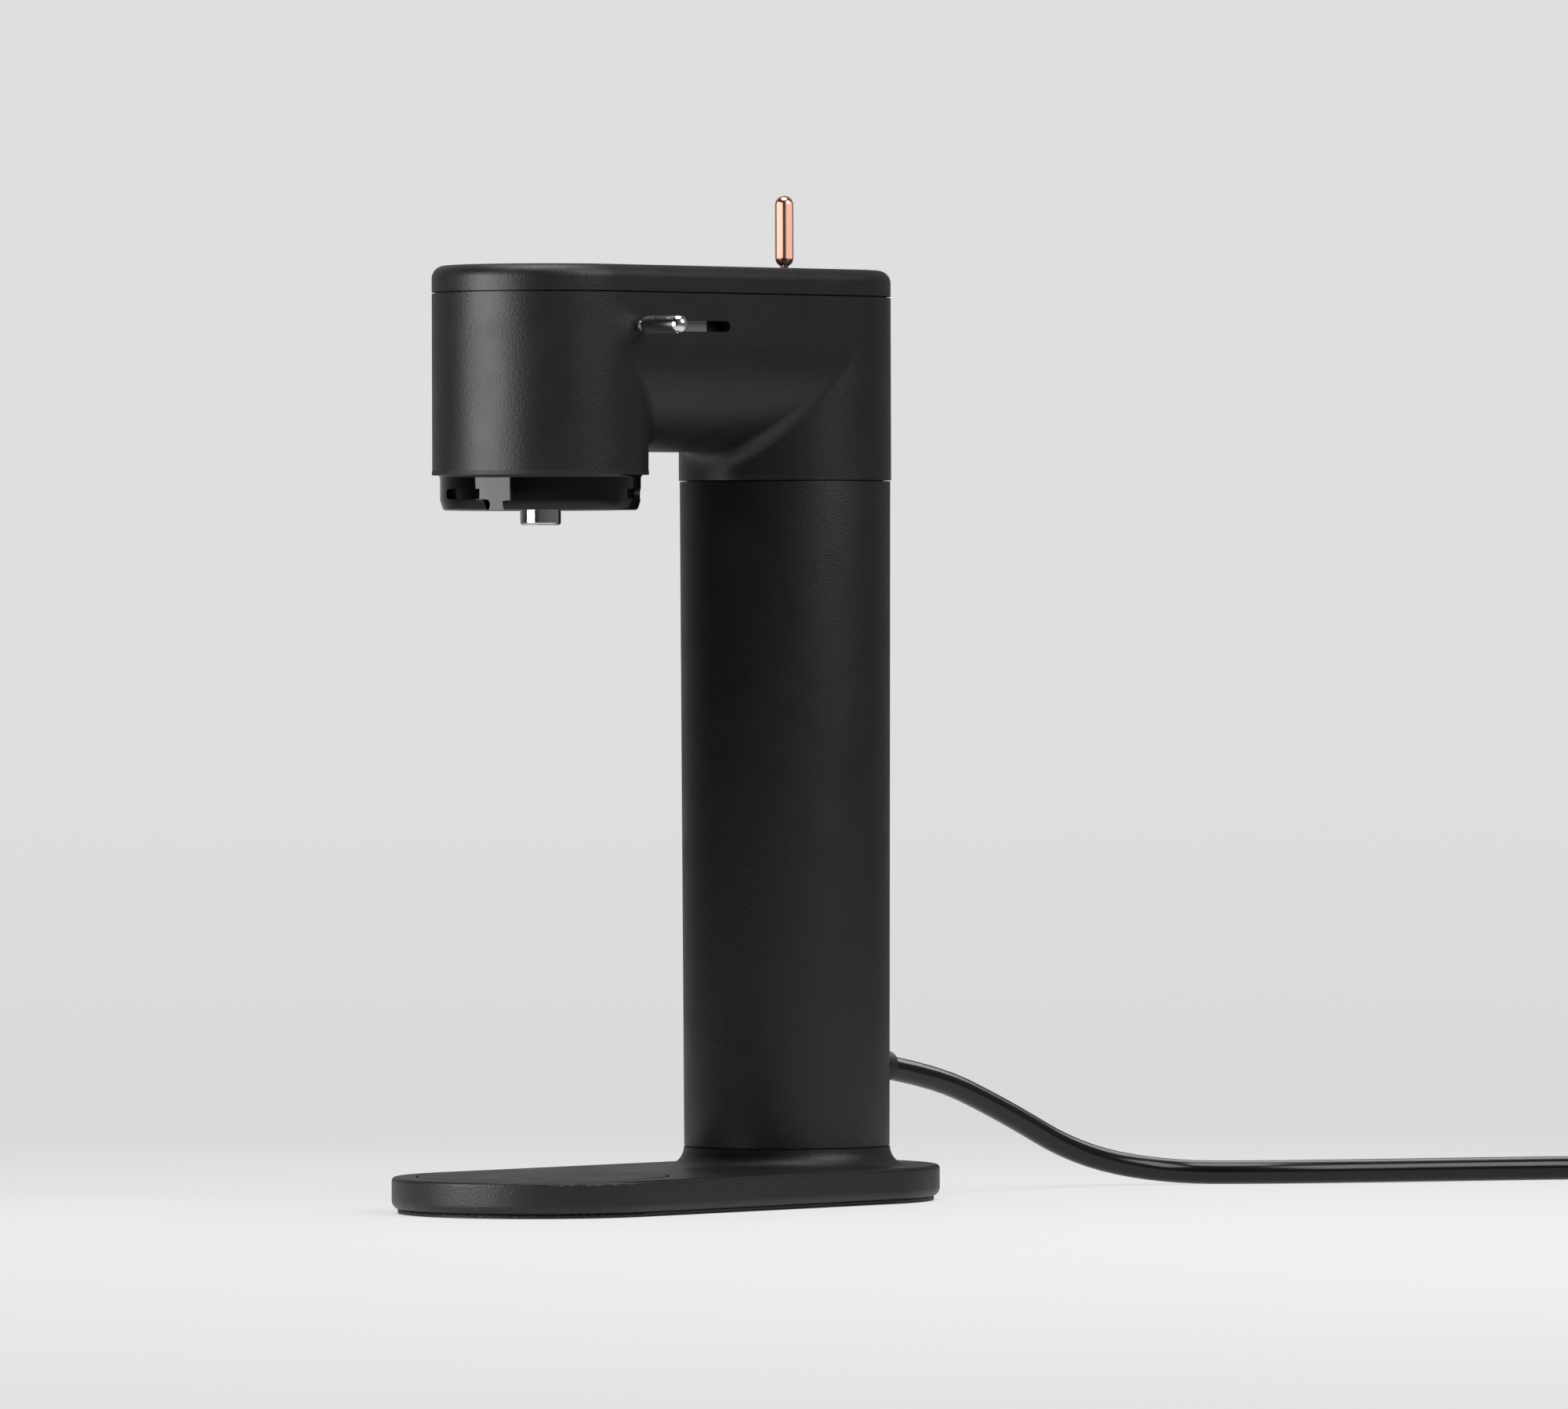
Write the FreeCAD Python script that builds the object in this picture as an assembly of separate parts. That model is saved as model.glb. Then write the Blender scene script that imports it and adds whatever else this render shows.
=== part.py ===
"""Soda carbonator: base plate, gas column, bridge head, bottle collar and the working parts inside.

Frame: origin at the centre of the foot's underside, +Z up, the bottle stands towards -Y, the
column towards +Y, and the side slot is in the +X wall. All sizes are in millimetres.
"""
import FreeCAD, Part
import math
import os

V = FreeCAD.Vector

# Driving dimensions
AXIS_GAP = 152.0
HEAD_R = 46.3
BASE_R = 64.6
BASE_OVERHANG = 3.0
FOOT_H = 1.6
BASE_TOP = 15.5
FLARE_TOP = 23.6
COLUMN_R_LOW = 44.8
COLUMN_R_TOP = 45.9
COLUMN_TOP = 315.4
HEAD_BOTTOM = 315.8
NECK_UNDER = 325.6
NECK_BLEND = 9.2
SPLIT_Z = 393.0
LID_TOP = 405.0
WALL = 3.0
COLLAR_R = 43.0
COLLAR_BOTTOM = 300.3
NOZZLE_R = 8.75
NOZZLE_TIP = 294.0
CORD_D = 10.6

FRONT = -AXIS_GAP / 2
REAR = AXIS_GAP / 2
BASE_REAR = REAR + BASE_OVERHANG
INNER_R = HEAD_R - WALL
NECK_AXIS_Z = NECK_UNDER + HEAD_R

# Side slot and its slider
SLOT_START = FRONT + 12.0
SLOT_END = FRONT + 69.4
SLOT_H = 4.7
SLOT_Z = 379.0
PEG_STEM_R = 1.9
PEG_Y = SLOT_START + SLOT_H / 2
PEG_TRAVEL = SLOT_END - SLOT_START - SLOT_H
CAPSULE_R = 4.0
PEG_START = HEAD_R + 1.2
PEG_L = 24.8

# Lever on the top
LEVER_Z = 397.5
LEVER_ARM = 14.0
LEVER_BOTTOM = 406.8
LEVER_L = 31.0
PIN_R = 1.5
FIT = 0.05
GAP = 0.4

# Gas cylinder
CYL_R = 30.0
CYL_WAY_R = 38.5
CYL_BOTTOM = 7.5
CYL_SHOULDER = 318.0
CYL_NECK_Z = 343.0
VALVE_R = 8.5
VALVE_TOP = 368.0
PLATE_Z = 354.0
PLATE_T = 2.0
BLOCK_TOP = 386.0
PLUNGER_R = 2.5
PLUNGER_Y = REAR - LEVER_ARM

# Bottle side
MAT_R = 54.0
MAT_T = 1.7
MAT_PROUD = 0.1
FLANGE_T = 1.4
MANIFOLD_HOLE_R = 9.0

# Underside
COVER_R = 37.0
COVER_T = 3.0
PAD_HOLE_R = 44.0

# Screws
SCREW_R = 1.5
SCREW_CLEAR_R = 1.6
SCREW_HEAD_R = 2.8
HEAD_CLEAR_R = 2.9
SCREW_SLOT = 0.4

# Where the cord leaves the column, and its route: (x, y, z) points on the floor side
CORD_Z = CORD_D / 2
CORD_ROUTE = [
    (0.0, 109.0, 60.5), (0.0, 164.0, 54.0), (1.0, 214.0, 35.5), (5.0, 258.5, 14.0),
    (20.0, 300.0, CORD_Z), (55.0, 330.0, CORD_Z), (84.0, 375.0, CORD_Z), (112.0, 424.0, CORD_Z),
    (142.0, 470.0, CORD_Z), (176.0, 512.0, CORD_Z),
]
COIL_R = 55.0
COIL_TURNS_WIDE = 2
COIL_LAYERS = 2
PLUG_TAIL = 42.0
PLUG_AXIS_Z = 8.0
PIN_GAP = 19.0
MAINS_PIN_R = 2.4
MAINS_PIN_L = 17.0


def cyl(x, y, z0, z1, radius):
    """Upright cylinder between two heights."""
    return Part.makeCylinder(radius, z1 - z0, V(x, y, z0))


def box(x0, x1, y0, y1, z0, z1):
    """Box between opposite corners."""
    return Part.makeBox(x1 - x0, y1 - y0, z1 - z0, V(x0, y0, z0))


def rod(start, end, radius):
    """Cylinder from one point to another."""
    a = V(*start)
    b = V(*end)
    return Part.makeCylinder(radius, (b - a).Length, a, b - a)


def stadium(radius, z0, z1, y0=FRONT, y1=REAR):
    """Solid with two round ends about the axes at y0 and y1 and straight sides between them."""
    p = [V(radius, y0, z0), V(radius, y1, z0), V(0, y1 + radius, z0), V(-radius, y1, z0),
         V(-radius, y0, z0), V(0, y0 - radius, z0)]
    edges = [
        Part.LineSegment(p[0], p[1]).toShape(),
        Part.Arc(p[1], p[2], p[3]).toShape(),
        Part.LineSegment(p[3], p[4]).toShape(),
        Part.Arc(p[4], p[5], p[0]).toShape(),
    ]
    return Part.Face(Part.Wire(edges)).extrude(V(0, 0, z1 - z0))


def revolve(points, x=0.0, y=0.0):
    """Turn a closed outline of (radius, height) points about the upright axis at x, y."""
    ring = [V(x + r, y, z) for r, z in points]
    face = Part.Face(Part.makePolygon(ring + ring[:1]))
    return face.revolve(V(x, y, 0), V(0, 0, 1), 360)


def edges_at(shape, height, tolerance=0.01):
    """Edges of a shape that lie wholly at one height."""
    found = []
    for edge in shape.Edges:
        bounds = edge.BoundBox
        if abs(bounds.ZMin - height) < tolerance and abs(bounds.ZMax - height) < tolerance:
            found.append(edge)
    return found


def capsule(start, direction, radius, length):
    """Rod with two round ends; start is the tip of the first end."""
    way = V(*direction)
    tip = V(*start)
    first = tip + way * radius
    last = tip + way * (length - radius)
    shape = Part.makeCylinder(radius, length - 2 * radius, first, way)
    return shape.fuse([Part.makeSphere(radius, first), Part.makeSphere(radius, last)]).removeSplitter()


def save(shape, name):
    """Write one sub-component."""
    shape.exportStep("parts/" + name + ".step")
    state = "ok" if shape.isValid() else "INVALID"
    print(name, state, len(shape.Solids), "solids", round(shape.Volume / 1000.0, 2), "cm3")


def neck_solid(radius, y0, y1, z1):
    """Bridge between the two round ends: half-round underside with upright sides above."""
    under = Part.makeCylinder(radius, y1 - y0, V(0, y0, NECK_AXIS_Z), V(0, 1, 0))
    sides = box(-radius, radius, y0, y1, NECK_AXIS_Z, z1)
    top = box(-radius, radius, y0, y1, z1, NECK_AXIS_Z + radius + 1)
    return under.fuse(sides).cut(top)


def head_envelope(radius, z0, z1):
    """The head's outer or inner form between two heights."""
    ends = cyl(0, FRONT, z0, z1, radius).fuse(cyl(0, REAR, z0, z1, radius))
    return ends.fuse(neck_solid(radius, FRONT, REAR, z1)).removeSplitter()


# Base -------------------------------------------------------------------------------------------

PLATE_WALL = 4.5
EDGE_TOP_R = 1.7
EDGE_LOW_R = 4.0
BALLAST_T = 6.5
SCREW_RING_R = 40.2
SCREW_ANGLES = (30, 90, 150, 210, 270, 330)


def ring_spots(x, y, radius, angles):
    """Points on a circle about x, y at the given angles in degrees."""
    return [(x + radius * math.cos(math.radians(a)), y + radius * math.sin(math.radians(a))) for a in angles]


BASE_SCREW_SPOTS = ring_spots(0, REAR, SCREW_RING_R, SCREW_ANGLES)


def base_plate():
    """Cast plate with a hollow underside, the mat's recess and the flared foot of the column."""
    plate = stadium(BASE_R, FOOT_H, BASE_TOP, FRONT, BASE_REAR)
    plate = plate.makeFillet(EDGE_TOP_R, edges_at(plate, BASE_TOP))
    plate = plate.makeFillet(EDGE_LOW_R, edges_at(plate, FOOT_H))
    flare = FLARE_TOP - BASE_TOP
    flare_r = COLUMN_R_LOW + 0.2 + flare
    foot = cyl(0, REAR, BASE_TOP - 2, FLARE_TOP, flare_r)
    foot = foot.cut(Part.makeTorus(flare_r, flare, V(0, REAR, FLARE_TOP), V(0, 0, 1)))
    plate = plate.fuse(foot)
    hollow = stadium(BASE_R - PLATE_WALL - 1, FOOT_H, BASE_TOP - PLATE_WALL, FRONT, BASE_REAR)
    post = cyl(0, REAR, FOOT_H, BASE_TOP, PAD_HOLE_R)
    plate = plate.cut(hollow.cut(post))
    plate = plate.cut(cyl(0, REAR, 0, FLARE_TOP + 1, COVER_R + FIT))
    plate = plate.cut(cyl(0, FRONT, BASE_TOP - MAT_T, BASE_TOP + 1, MAT_R + GAP))
    for x, y in BASE_SCREW_SPOTS:
        plate = plate.cut(cyl(x, y, 0, FLARE_TOP + 1, SCREW_CLEAR_R))
        plate = plate.cut(cyl(x, y, 0, FOOT_H + 3, HEAD_CLEAR_R))
    return plate.removeSplitter()


def ballast_plate():
    """Steel slab under the bottle that keeps the machine from tipping."""
    top = BASE_TOP - PLATE_WALL
    slab = stadium(BASE_R - 2 * PLATE_WALL, top - BALLAST_T, top, FRONT, BASE_REAR)
    return slab.cut(cyl(0, REAR, 0, top + 1, PAD_HOLE_R + 4))


def foot_pad():
    """Rubber sheet that the base stands on, open under the bottom cover."""
    pad = stadium(BASE_R - 2.6, 0, FOOT_H, FRONT, BASE_REAR)
    return pad.cut(cyl(0, REAR, -1, FOOT_H + 1, PAD_HOLE_R))


def bottle_mat():
    """Round mat under the bottle, with a soft edge."""
    top = BASE_TOP + MAT_PROUD
    mat = cyl(0, FRONT, BASE_TOP - MAT_T, top, MAT_R)
    return mat.makeFillet(0.4, edges_at(mat, top))


def bottom_cover():
    """Quarter-turn lid under the gas cylinder, with a finger bar across its recess."""
    z0 = FOOT_H + 0.3
    grip_r = 17.0
    cover = cyl(0, REAR, z0, z0 + COVER_T, COVER_R)
    recess = cyl(0, REAR, z0 - 1, z0 + COVER_T - 1.2, grip_r)
    bar = box(-2.2, 2.2, REAR - grip_r - 1, REAR + grip_r + 1, z0 - 1, z0 + COVER_T)
    return cover.cut(recess.cut(bar))


def slotted_screw(x, y, bottom, head_h, top):
    """Machine screw, head down, with a driver's slot in the head."""
    head = cyl(x, y, bottom, bottom + head_h, SCREW_HEAD_R)
    slot = box(x - SCREW_SLOT, x + SCREW_SLOT, y - 2, y + 2, bottom, bottom + 0.8)
    return head.cut(slot).fuse(cyl(x, y, bottom + head_h, top, SCREW_R))


def base_screws():
    """Machine screws from below into the column's wall."""
    return Part.makeCompound([slotted_screw(x, y, FOOT_H + 1, 2, FLARE_TOP + 6) for x, y in BASE_SCREW_SPOTS])


# Column -----------------------------------------------------------------------------------------

GLAND_R = 6.9
WIRE_X = 4.0
WIRE_R = 1.1


def column_wall_radius(z):
    """Outer radius of the tapered column at a height."""
    part = (z - FLARE_TOP) / (COLUMN_TOP - FLARE_TOP)
    return COLUMN_R_LOW + (COLUMN_R_TOP - COLUMN_R_LOW) * part


def cord_direction():
    """Unit vector along the cord where it leaves the column."""
    way = V(*CORD_ROUTE[1]) - V(*CORD_ROUTE[0])
    return way.normalize()


def column_shell():
    """Tapered tube with a bevel at its upper rim and a hole for the cord's gland."""
    bevel = 0.9
    z0 = FLARE_TOP + 0.5
    outline = [
        (COLUMN_R_LOW - WALL, z0), (COLUMN_R_LOW - bevel, z0), (COLUMN_R_LOW, z0 + bevel),
        (COLUMN_R_TOP, COLUMN_TOP - bevel), (COLUMN_R_TOP - bevel, COLUMN_TOP),
        (COLUMN_R_TOP - WALL, COLUMN_TOP),
    ]
    tube = revolve(outline, 0, REAR)
    for x, y in BASE_SCREW_SPOTS:
        boss = cyl(x, y, z0, z0 + 12, 3.4).common(cyl(0, REAR, z0, z0 + 12, COLUMN_R_LOW - 1))
        tube = tube.fuse(boss).cut(cyl(x, y, z0 - 1, FLARE_TOP + 6, SCREW_R))
    gland = Part.makeCylinder(GLAND_R, 30, V(*CORD_ROUTE[0]), cord_direction())
    return tube.cut(gland).removeSplitter()


def foot_ring():
    """Thin dark gasket in the groove between the column and its foot."""
    z0 = FLARE_TOP
    ring = cyl(0, REAR, z0, z0 + 0.5, COLUMN_R_LOW - 1.0)
    ring = ring.cut(cyl(0, REAR, z0 - 1, z0 + 1, COVER_R + FIT))
    for x, y in BASE_SCREW_SPOTS:
        ring = ring.cut(cyl(x, y, z0 - 1, z0 + 1, SCREW_CLEAR_R))
    return ring


def joint_ring():
    """Aluminium spigot that lines up the column and the head, with a shoulder sunk between them."""
    ring = cyl(0, REAR, COLUMN_TOP - 10, HEAD_BOTTOM, COLUMN_R_TOP - WALL - 0.1)
    ring = ring.fuse(cyl(0, REAR, COLUMN_TOP, HEAD_BOTTOM, COLUMN_R_TOP - 2.0))
    return ring.cut(cyl(0, REAR, COLUMN_TOP - 11, HEAD_BOTTOM + 1, CYL_WAY_R))


def cylinder_guides():
    """Plastic rings that centre the gas cylinder, notched for the wires."""
    rings = []
    for z in (112.0, 286.0):
        outer = column_wall_radius(z) - WALL - 0.02
        ring = cyl(0, REAR, z, z + 8, outer).cut(cyl(0, REAR, z - 1, z + 9, CYL_R + 0.08))
        ring = ring.cut(box(-7, 7, REAR + CYL_R - 2, REAR + 60, z - 1, z + 9))
        rings.append(ring)
    return Part.makeCompound(rings)


def terminal_block():
    """Two-way terminal block on the column's inner wall above the gland."""
    face = REAR + 31
    back = REAR + 39.5
    screw_z = 83
    body = box(-8, 8, face, back, 70, 88)
    for x in (-WIRE_X, WIRE_X):
        body = body.cut(rod((x, face - 1, screw_z), (x, face + 3, screw_z), 1.8))
        body = body.fuse(rod((x, face + 0.6, screw_z), (x, face + 3, screw_z), 1.6))
    pad = box(-6, 6, back, back + 1.4, 72, 86)
    return body.fuse(pad).removeSplitter()


def strain_relief():
    """Rubber bush through the column's wall with a tapered boot outside, grooved to let it bend."""
    bore = CORD_D / 2
    tip_r = bore + 1.0
    root_r = GLAND_R + 1.4
    wall_out = 12.3
    length = 20.0
    outline = [(bore, 3.6), (GLAND_R, 3.6), (GLAND_R, wall_out), (root_r, wall_out), (root_r, wall_out + 2.5)]
    grooves = 4
    pitch = (length - 4.5) / grooves
    for index in range(grooves):
        start = wall_out + 2.5 + pitch * index
        r = root_r + (tip_r - root_r) * (start - wall_out) / length
        outline += [(r - 0.8, start), (r - 0.8, start + 1.2), (r, start + 1.2), (r - 0.3, start + pitch)]
    outline += [(tip_r, wall_out + length), (bore, wall_out + length)]
    boot = revolve(outline)
    turn = FreeCAD.Rotation(V(0, 0, 1), cord_direction())
    boot.Placement = FreeCAD.Placement(V(*CORD_ROUTE[0]), turn)
    return boot


def wires():
    """Two insulated wires from the terminal block up the column to the control board."""
    runs = []
    for side in (-1, 1):
        x = side * WIRE_X
        route = [(x, REAR + 34.5, 88.0), (x, REAR + 34.5, 345.0), (x, REAR + 20, 350.0)]
        runs.append(tube_on_route(route, WIRE_R, 0.3))
    return Part.makeCompound(runs)


# Cord -------------------------------------------------------------------------------------------

def rounded_path(route, share, report=None):
    """Wire of straight runs joined by tangent arcs; share is how much of a run each arc takes."""
    points = [V(*p) for p in route]
    edges = []
    last = points[0]
    for before, corner, after in zip(points, points[1:], points[2:]):
        inward = before - corner
        outward = after - corner
        reach = share * min(inward.Length, outward.Length)
        a = V(inward).normalize()
        b = V(outward).normalize()
        turn = math.pi - a.getAngle(b)
        radius = reach / math.tan(turn / 2)
        start = corner + a * reach
        end = corner + b * reach
        middle = corner + (a + b).normalize() * (radius / math.cos(turn / 2) - radius)
        edges.append(Part.LineSegment(last, start).toShape())
        edges.append(Part.Arc(start, middle, end).toShape())
        last = end
        if report is not None:
            report.append(round(radius, 1))
    edges.append(Part.LineSegment(last, points[-1]).toShape())
    return Part.Wire(edges)


def tube_on_route(route, radius, share, report=None):
    """Round tube along a rounded path."""
    path = rounded_path(route, share, report)
    start = V(*route[0])
    way = (V(*route[1]) - start).normalize()
    circle = Part.Wire(Part.Circle(start, way, radius).toShape())
    tube = path.makePipeShell([circle], True, False)
    print("tube", round(path.Length, 1), "mm, volume ratio",
          round(tube.Volume / (path.Length * math.pi * radius ** 2), 4))
    return tube


def cord_tube(radii=None):
    """Tube along the cord's route; each arc takes 0.45 of the shorter run beside it."""
    return tube_on_route(CORD_ROUTE, CORD_D / 2, 0.45, radii)


def mains_cord():
    """The cord from inside the column to the put-away coil."""
    radii = []
    tube = cord_tube(radii)
    print("cord radii", radii)
    return tube


def arrival():
    """Unit vectors along the cord's last run, and to its right."""
    way = (V(*CORD_ROUTE[-1]) - V(*CORD_ROUTE[-2])).normalize()
    return way, V(way.y, -way.x, 0)


def coil_centre():
    """Middle of the coil on the floor, to the left of the way the cord arrives."""
    way, side = arrival()
    return V(*CORD_ROUTE[-1]) - side * (COIL_R + CORD_D / 2) + way * (CORD_D / 2) - V(0, 0, CORD_Z)


def coil_exit():
    """Point where the free end leaves the coil, and the unit vector that it leaves along."""
    way, side = arrival()
    return coil_centre() + way * (COIL_R + CORD_D / 2) + V(0, 0, CORD_Z), side * -1


def plug_nose():
    """Point where the free end of the cord enters the plug."""
    leave, out = coil_exit()
    return leave + out * PLUG_TAIL + V(0, 0, PLUG_AXIS_Z - CORD_Z)


def cord_coil():
    """Outer form of the wound cord: a ring two turns wide and two high, with both tails."""
    centre = coil_centre()
    way, side = arrival()
    half = COIL_TURNS_WIDE * CORD_D / 2
    top = COIL_LAYERS * CORD_D
    ring = cyl(centre.x, centre.y, 0, top, COIL_R + half)
    ring = ring.cut(cyl(centre.x, centre.y, -1, top + 1, COIL_R - half))
    ring = ring.makeFillet(4.5, [edge for edge in ring.Edges if edge.Length > 200])
    ring = ring.cut(cord_tube())
    ring = ring.fuse(Part.makeCylinder(CORD_D / 2, 12, V(*CORD_ROUTE[-1]), way))
    leave, out = coil_exit()
    tail = plug_nose() - leave
    ring = ring.fuse(Part.makeCylinder(CORD_D / 2, tail.Length, leave, tail))
    return ring.removeSplitter()


def cord_plug():
    """Two-pin mains plug with a grip taper, lying on its side."""
    out = coil_exit()[1]
    across = V(out.y, -out.x, 0)
    up = V(0, 0, 1)
    nose = plug_nose()
    shape = Part.makeCylinder(CORD_D / 2 + 1.0, 4, nose, out)
    sections = [(2.0, 12.8, 12.8), (16.0, 15.0, 13.0), (19.0, 27.0, 16.0), (38.0, 35.0, 16.0)]
    for section, following in zip(sections, sections[1:]):
        outlines = []
        for along, width, height in (section, following):
            middle = nose + out * along
            corner_a = across * (width / 2)
            corner_b = up * (height / 2)
            corners = [middle + corner_a + corner_b, middle - corner_a + corner_b,
                       middle - corner_a - corner_b, middle + corner_a - corner_b]
            outlines.append(Part.makePolygon(corners + corners[:1]))
        shape = shape.fuse(Part.makeLoft(outlines, True, True))
    for offset in (-PIN_GAP / 2, PIN_GAP / 2):
        root = nose + out * sections[-1][0] + across * offset
        shape = shape.fuse(Part.makeCylinder(MAINS_PIN_R, MAINS_PIN_L, root, out))
        shape = shape.fuse(Part.makeSphere(MAINS_PIN_R, root + out * MAINS_PIN_L))
    return shape.removeSplitter()


# Head -------------------------------------------------------------------------------------------

FLOOR_Z = HEAD_BOTTOM + 4.2
LIP_T = 1.6
LIP_GAP = 0.2
LID_T = 2.6
LID_EDGE_R = 5.6
LID_POST_R = 3.2
LID_SCREW_R = 1.3
LUG_R = 3.6
LUG_Z = (SPLIT_Z - 12, SPLIT_Z - 6)
COLLAR_SCREW_R = 24.0
COLLAR_SCREW_ANGLES = (90, 210, 330)
COLLAR_SCREW_SPOTS = ring_spots(0, FRONT, COLLAR_SCREW_R, COLLAR_SCREW_ANGLES)
LID_SCREWS = ((-37.0, -44.0), (-37.0, 44.0), (37.0, 50.0))


def head_inner():
    """The head's hollow, open at the top."""
    return head_envelope(INNER_R, FLOOR_Z, SPLIT_Z + 1)


def head_casting():
    """Hollow bridge head with the side slot, the nozzle hole and the opening over the column."""
    outer = head_envelope(HEAD_R, HEAD_BOTTOM, SPLIT_Z)
    head = outer.cut(head_inner())
    head = head.cut(cyl(0, REAR, HEAD_BOTTOM - 1, FLOOR_Z + 1, CYL_WAY_R))
    head = head.cut(cyl(0, FRONT, HEAD_BOTTOM - 1, FLOOR_Z + 1, MANIFOLD_HOLE_R))
    for x, y in COLLAR_SCREW_SPOTS:
        head = head.cut(cyl(x, y, HEAD_BOTTOM - 1, FLOOR_Z + 1, SCREW_CLEAR_R))
    for x, y in LID_SCREWS:
        wall_x = math.copysign(INNER_R + 0.5, x)
        arm = box(min(x, wall_x), max(x, wall_x), y - LUG_R, y + LUG_R, LUG_Z[0], LUG_Z[1])
        lug = cyl(x, y, LUG_Z[0], LUG_Z[1], LUG_R).fuse(arm)
        head = head.fuse(lug).cut(cyl(x, y, LUG_Z[0] - 1, LUG_Z[1] + 1, SCREW_R))
    r = SLOT_H / 2
    inside = INNER_R - 10
    outside = HEAD_R + 5
    slot = box(inside, outside, SLOT_START + r, SLOT_END - r, SLOT_Z - r, SLOT_Z + r)
    for y in (SLOT_START + r, SLOT_END - r):
        slot = slot.fuse(rod((inside, y, SLOT_Z), (outside, y, SLOT_Z), r))
    head = head.cut(slot).removeSplitter()
    mitres = [edge for edge in head.Edges if isinstance(edge.Curve, Part.Ellipse)
              and edge.Curve.MinorRadius > HEAD_R - 0.1]
    return head.makeFillet(NECK_BLEND, mitres)


def head_lid():
    """Lid with a rounded upper edge, a locating lip and two lugs for the lever's pin."""
    ceiling = LID_TOP - LID_T
    lid = stadium(HEAD_R, SPLIT_Z + 0.6, LID_TOP)
    lid = lid.makeFillet(LID_EDGE_R, edges_at(lid, LID_TOP))
    lid = lid.fuse(stadium(INNER_R - LIP_GAP, SPLIT_Z - 3.4, SPLIT_Z + 2))
    lid = lid.cut(stadium(INNER_R - LIP_GAP - LIP_T, SPLIT_Z - 4, ceiling))
    lid = lid.cut(box(-2.4, 2.4, REAR - 4.8, REAR + 2.4, LID_TOP - 4, LID_TOP + 1))
    for x0, x1 in ((-11.0, -8.0), (8.0, 11.0)):
        lid = lid.fuse(box(x0, x1, REAR - 4, REAR + 4, LEVER_Z - 3.5, ceiling))
    lid = lid.cut(rod((-12, REAR, LEVER_Z), (12, REAR, LEVER_Z), PIN_R))
    for x, y in LID_SCREWS:
        lid = lid.fuse(cyl(x, y, LUG_Z[1], ceiling, LID_POST_R))
        lid = lid.cut(cyl(x, y, LUG_Z[1] - 1, SPLIT_Z + 4, LID_SCREW_R))
    return lid.removeSplitter()


def lid_screws():
    """Screws from inside the head up into the lid's posts."""
    screws = []
    for x, y in LID_SCREWS:
        head = cyl(x, y, LUG_Z[0] - 2, LUG_Z[0], SCREW_HEAD_R)
        screws.append(head.fuse(cyl(x, y, LUG_Z[0], SPLIT_Z + 3.5, LID_SCREW_R)))
    return Part.makeCompound(screws)


def carrier_plate():
    """Sheet plate across the head that carries the valve block, solenoid and board."""
    plate = box(-HEAD_R, HEAD_R, -40, REAR + 36, PLATE_Z, PLATE_Z + PLATE_T).common(head_inner())
    plate = plate.cut(cyl(0, REAR, PLATE_Z - 1, PLATE_Z + 3, VALVE_R + 1.5))
    return plate.cut(box(-7, 7, REAR + 18, REAR + 24, PLATE_Z - 1, PLATE_Z + 3))


def valve_block():
    """Brass block over the cylinder's valve, with the plunger's bore and the gas outlet."""
    block = box(-15, 15, REAR - 22, REAR + 15, PLATE_Z + PLATE_T, BLOCK_TOP - 8)
    block = block.fuse(box(-8, 8, PLUNGER_Y - 6, REAR + 8, BLOCK_TOP - 8, BLOCK_TOP))
    block = block.cut(cyl(0, REAR, PLATE_Z, VALVE_TOP + 0.3, VALVE_R + 0.06))
    return block.cut(cyl(0, PLUNGER_Y, 371.5, BLOCK_TOP + 1, PLUNGER_R + FIT))


def gas_tube():
    """Bent steel tube from the valve block to the nozzle manifold."""
    route = [(0, REAR - 22, 366), (0, FRONT, 366), (0, FRONT, 345)]
    return tube_on_route(route, 1.6, 0.45)


NOZZLE_TOP = 332.0
MANIFOLD_TOP = 345.0
RELIEF_X = 11.5


def nozzle_manifold():
    """Block over the nozzle with the relief valve's bore."""
    block = cyl(0, FRONT, FLOOR_Z, MANIFOLD_TOP, 17)
    block = block.cut(cyl(0, FRONT, FLOOR_Z - 1, NOZZLE_TOP, NOZZLE_R))
    return block.cut(cyl(RELIEF_X, FRONT, 334, 346, PLUNGER_R + FIT))


def relief_poppet():
    """Small sprung pin of the pressure relief valve."""
    head_z = MANIFOLD_TOP + 0.3
    pin = cyl(RELIEF_X, FRONT, MANIFOLD_TOP - 10, head_z + 1, PLUNGER_R)
    return pin.fuse(cyl(RELIEF_X, FRONT, head_z, head_z + 2, 4.0))


def nozzle():
    """Polished steel tube that reaches into the bottle, with a rounded mouth."""
    tube = cyl(0, FRONT, NOZZLE_TIP, NOZZLE_TOP, NOZZLE_R)
    tube = tube.makeFillet(1.2, edges_at(tube, NOZZLE_TIP))
    return tube.cut(cyl(0, FRONT, NOZZLE_TIP - 1, NOZZLE_TOP + 1, 3.0))


SOCKET_R = 35.5
SOCKET_TOP = 311.0
COLLAR_TOP = HEAD_BOTTOM - FLANGE_T
TRACK_SWEEP = -41.0
TRACK_START = -73.5
TRACK_DEPTH = 2.6
TRACK_Z = (305.0, 309.4)
TRACK_WIDTH = 8.6
SEAT_Z = 312.6


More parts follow.
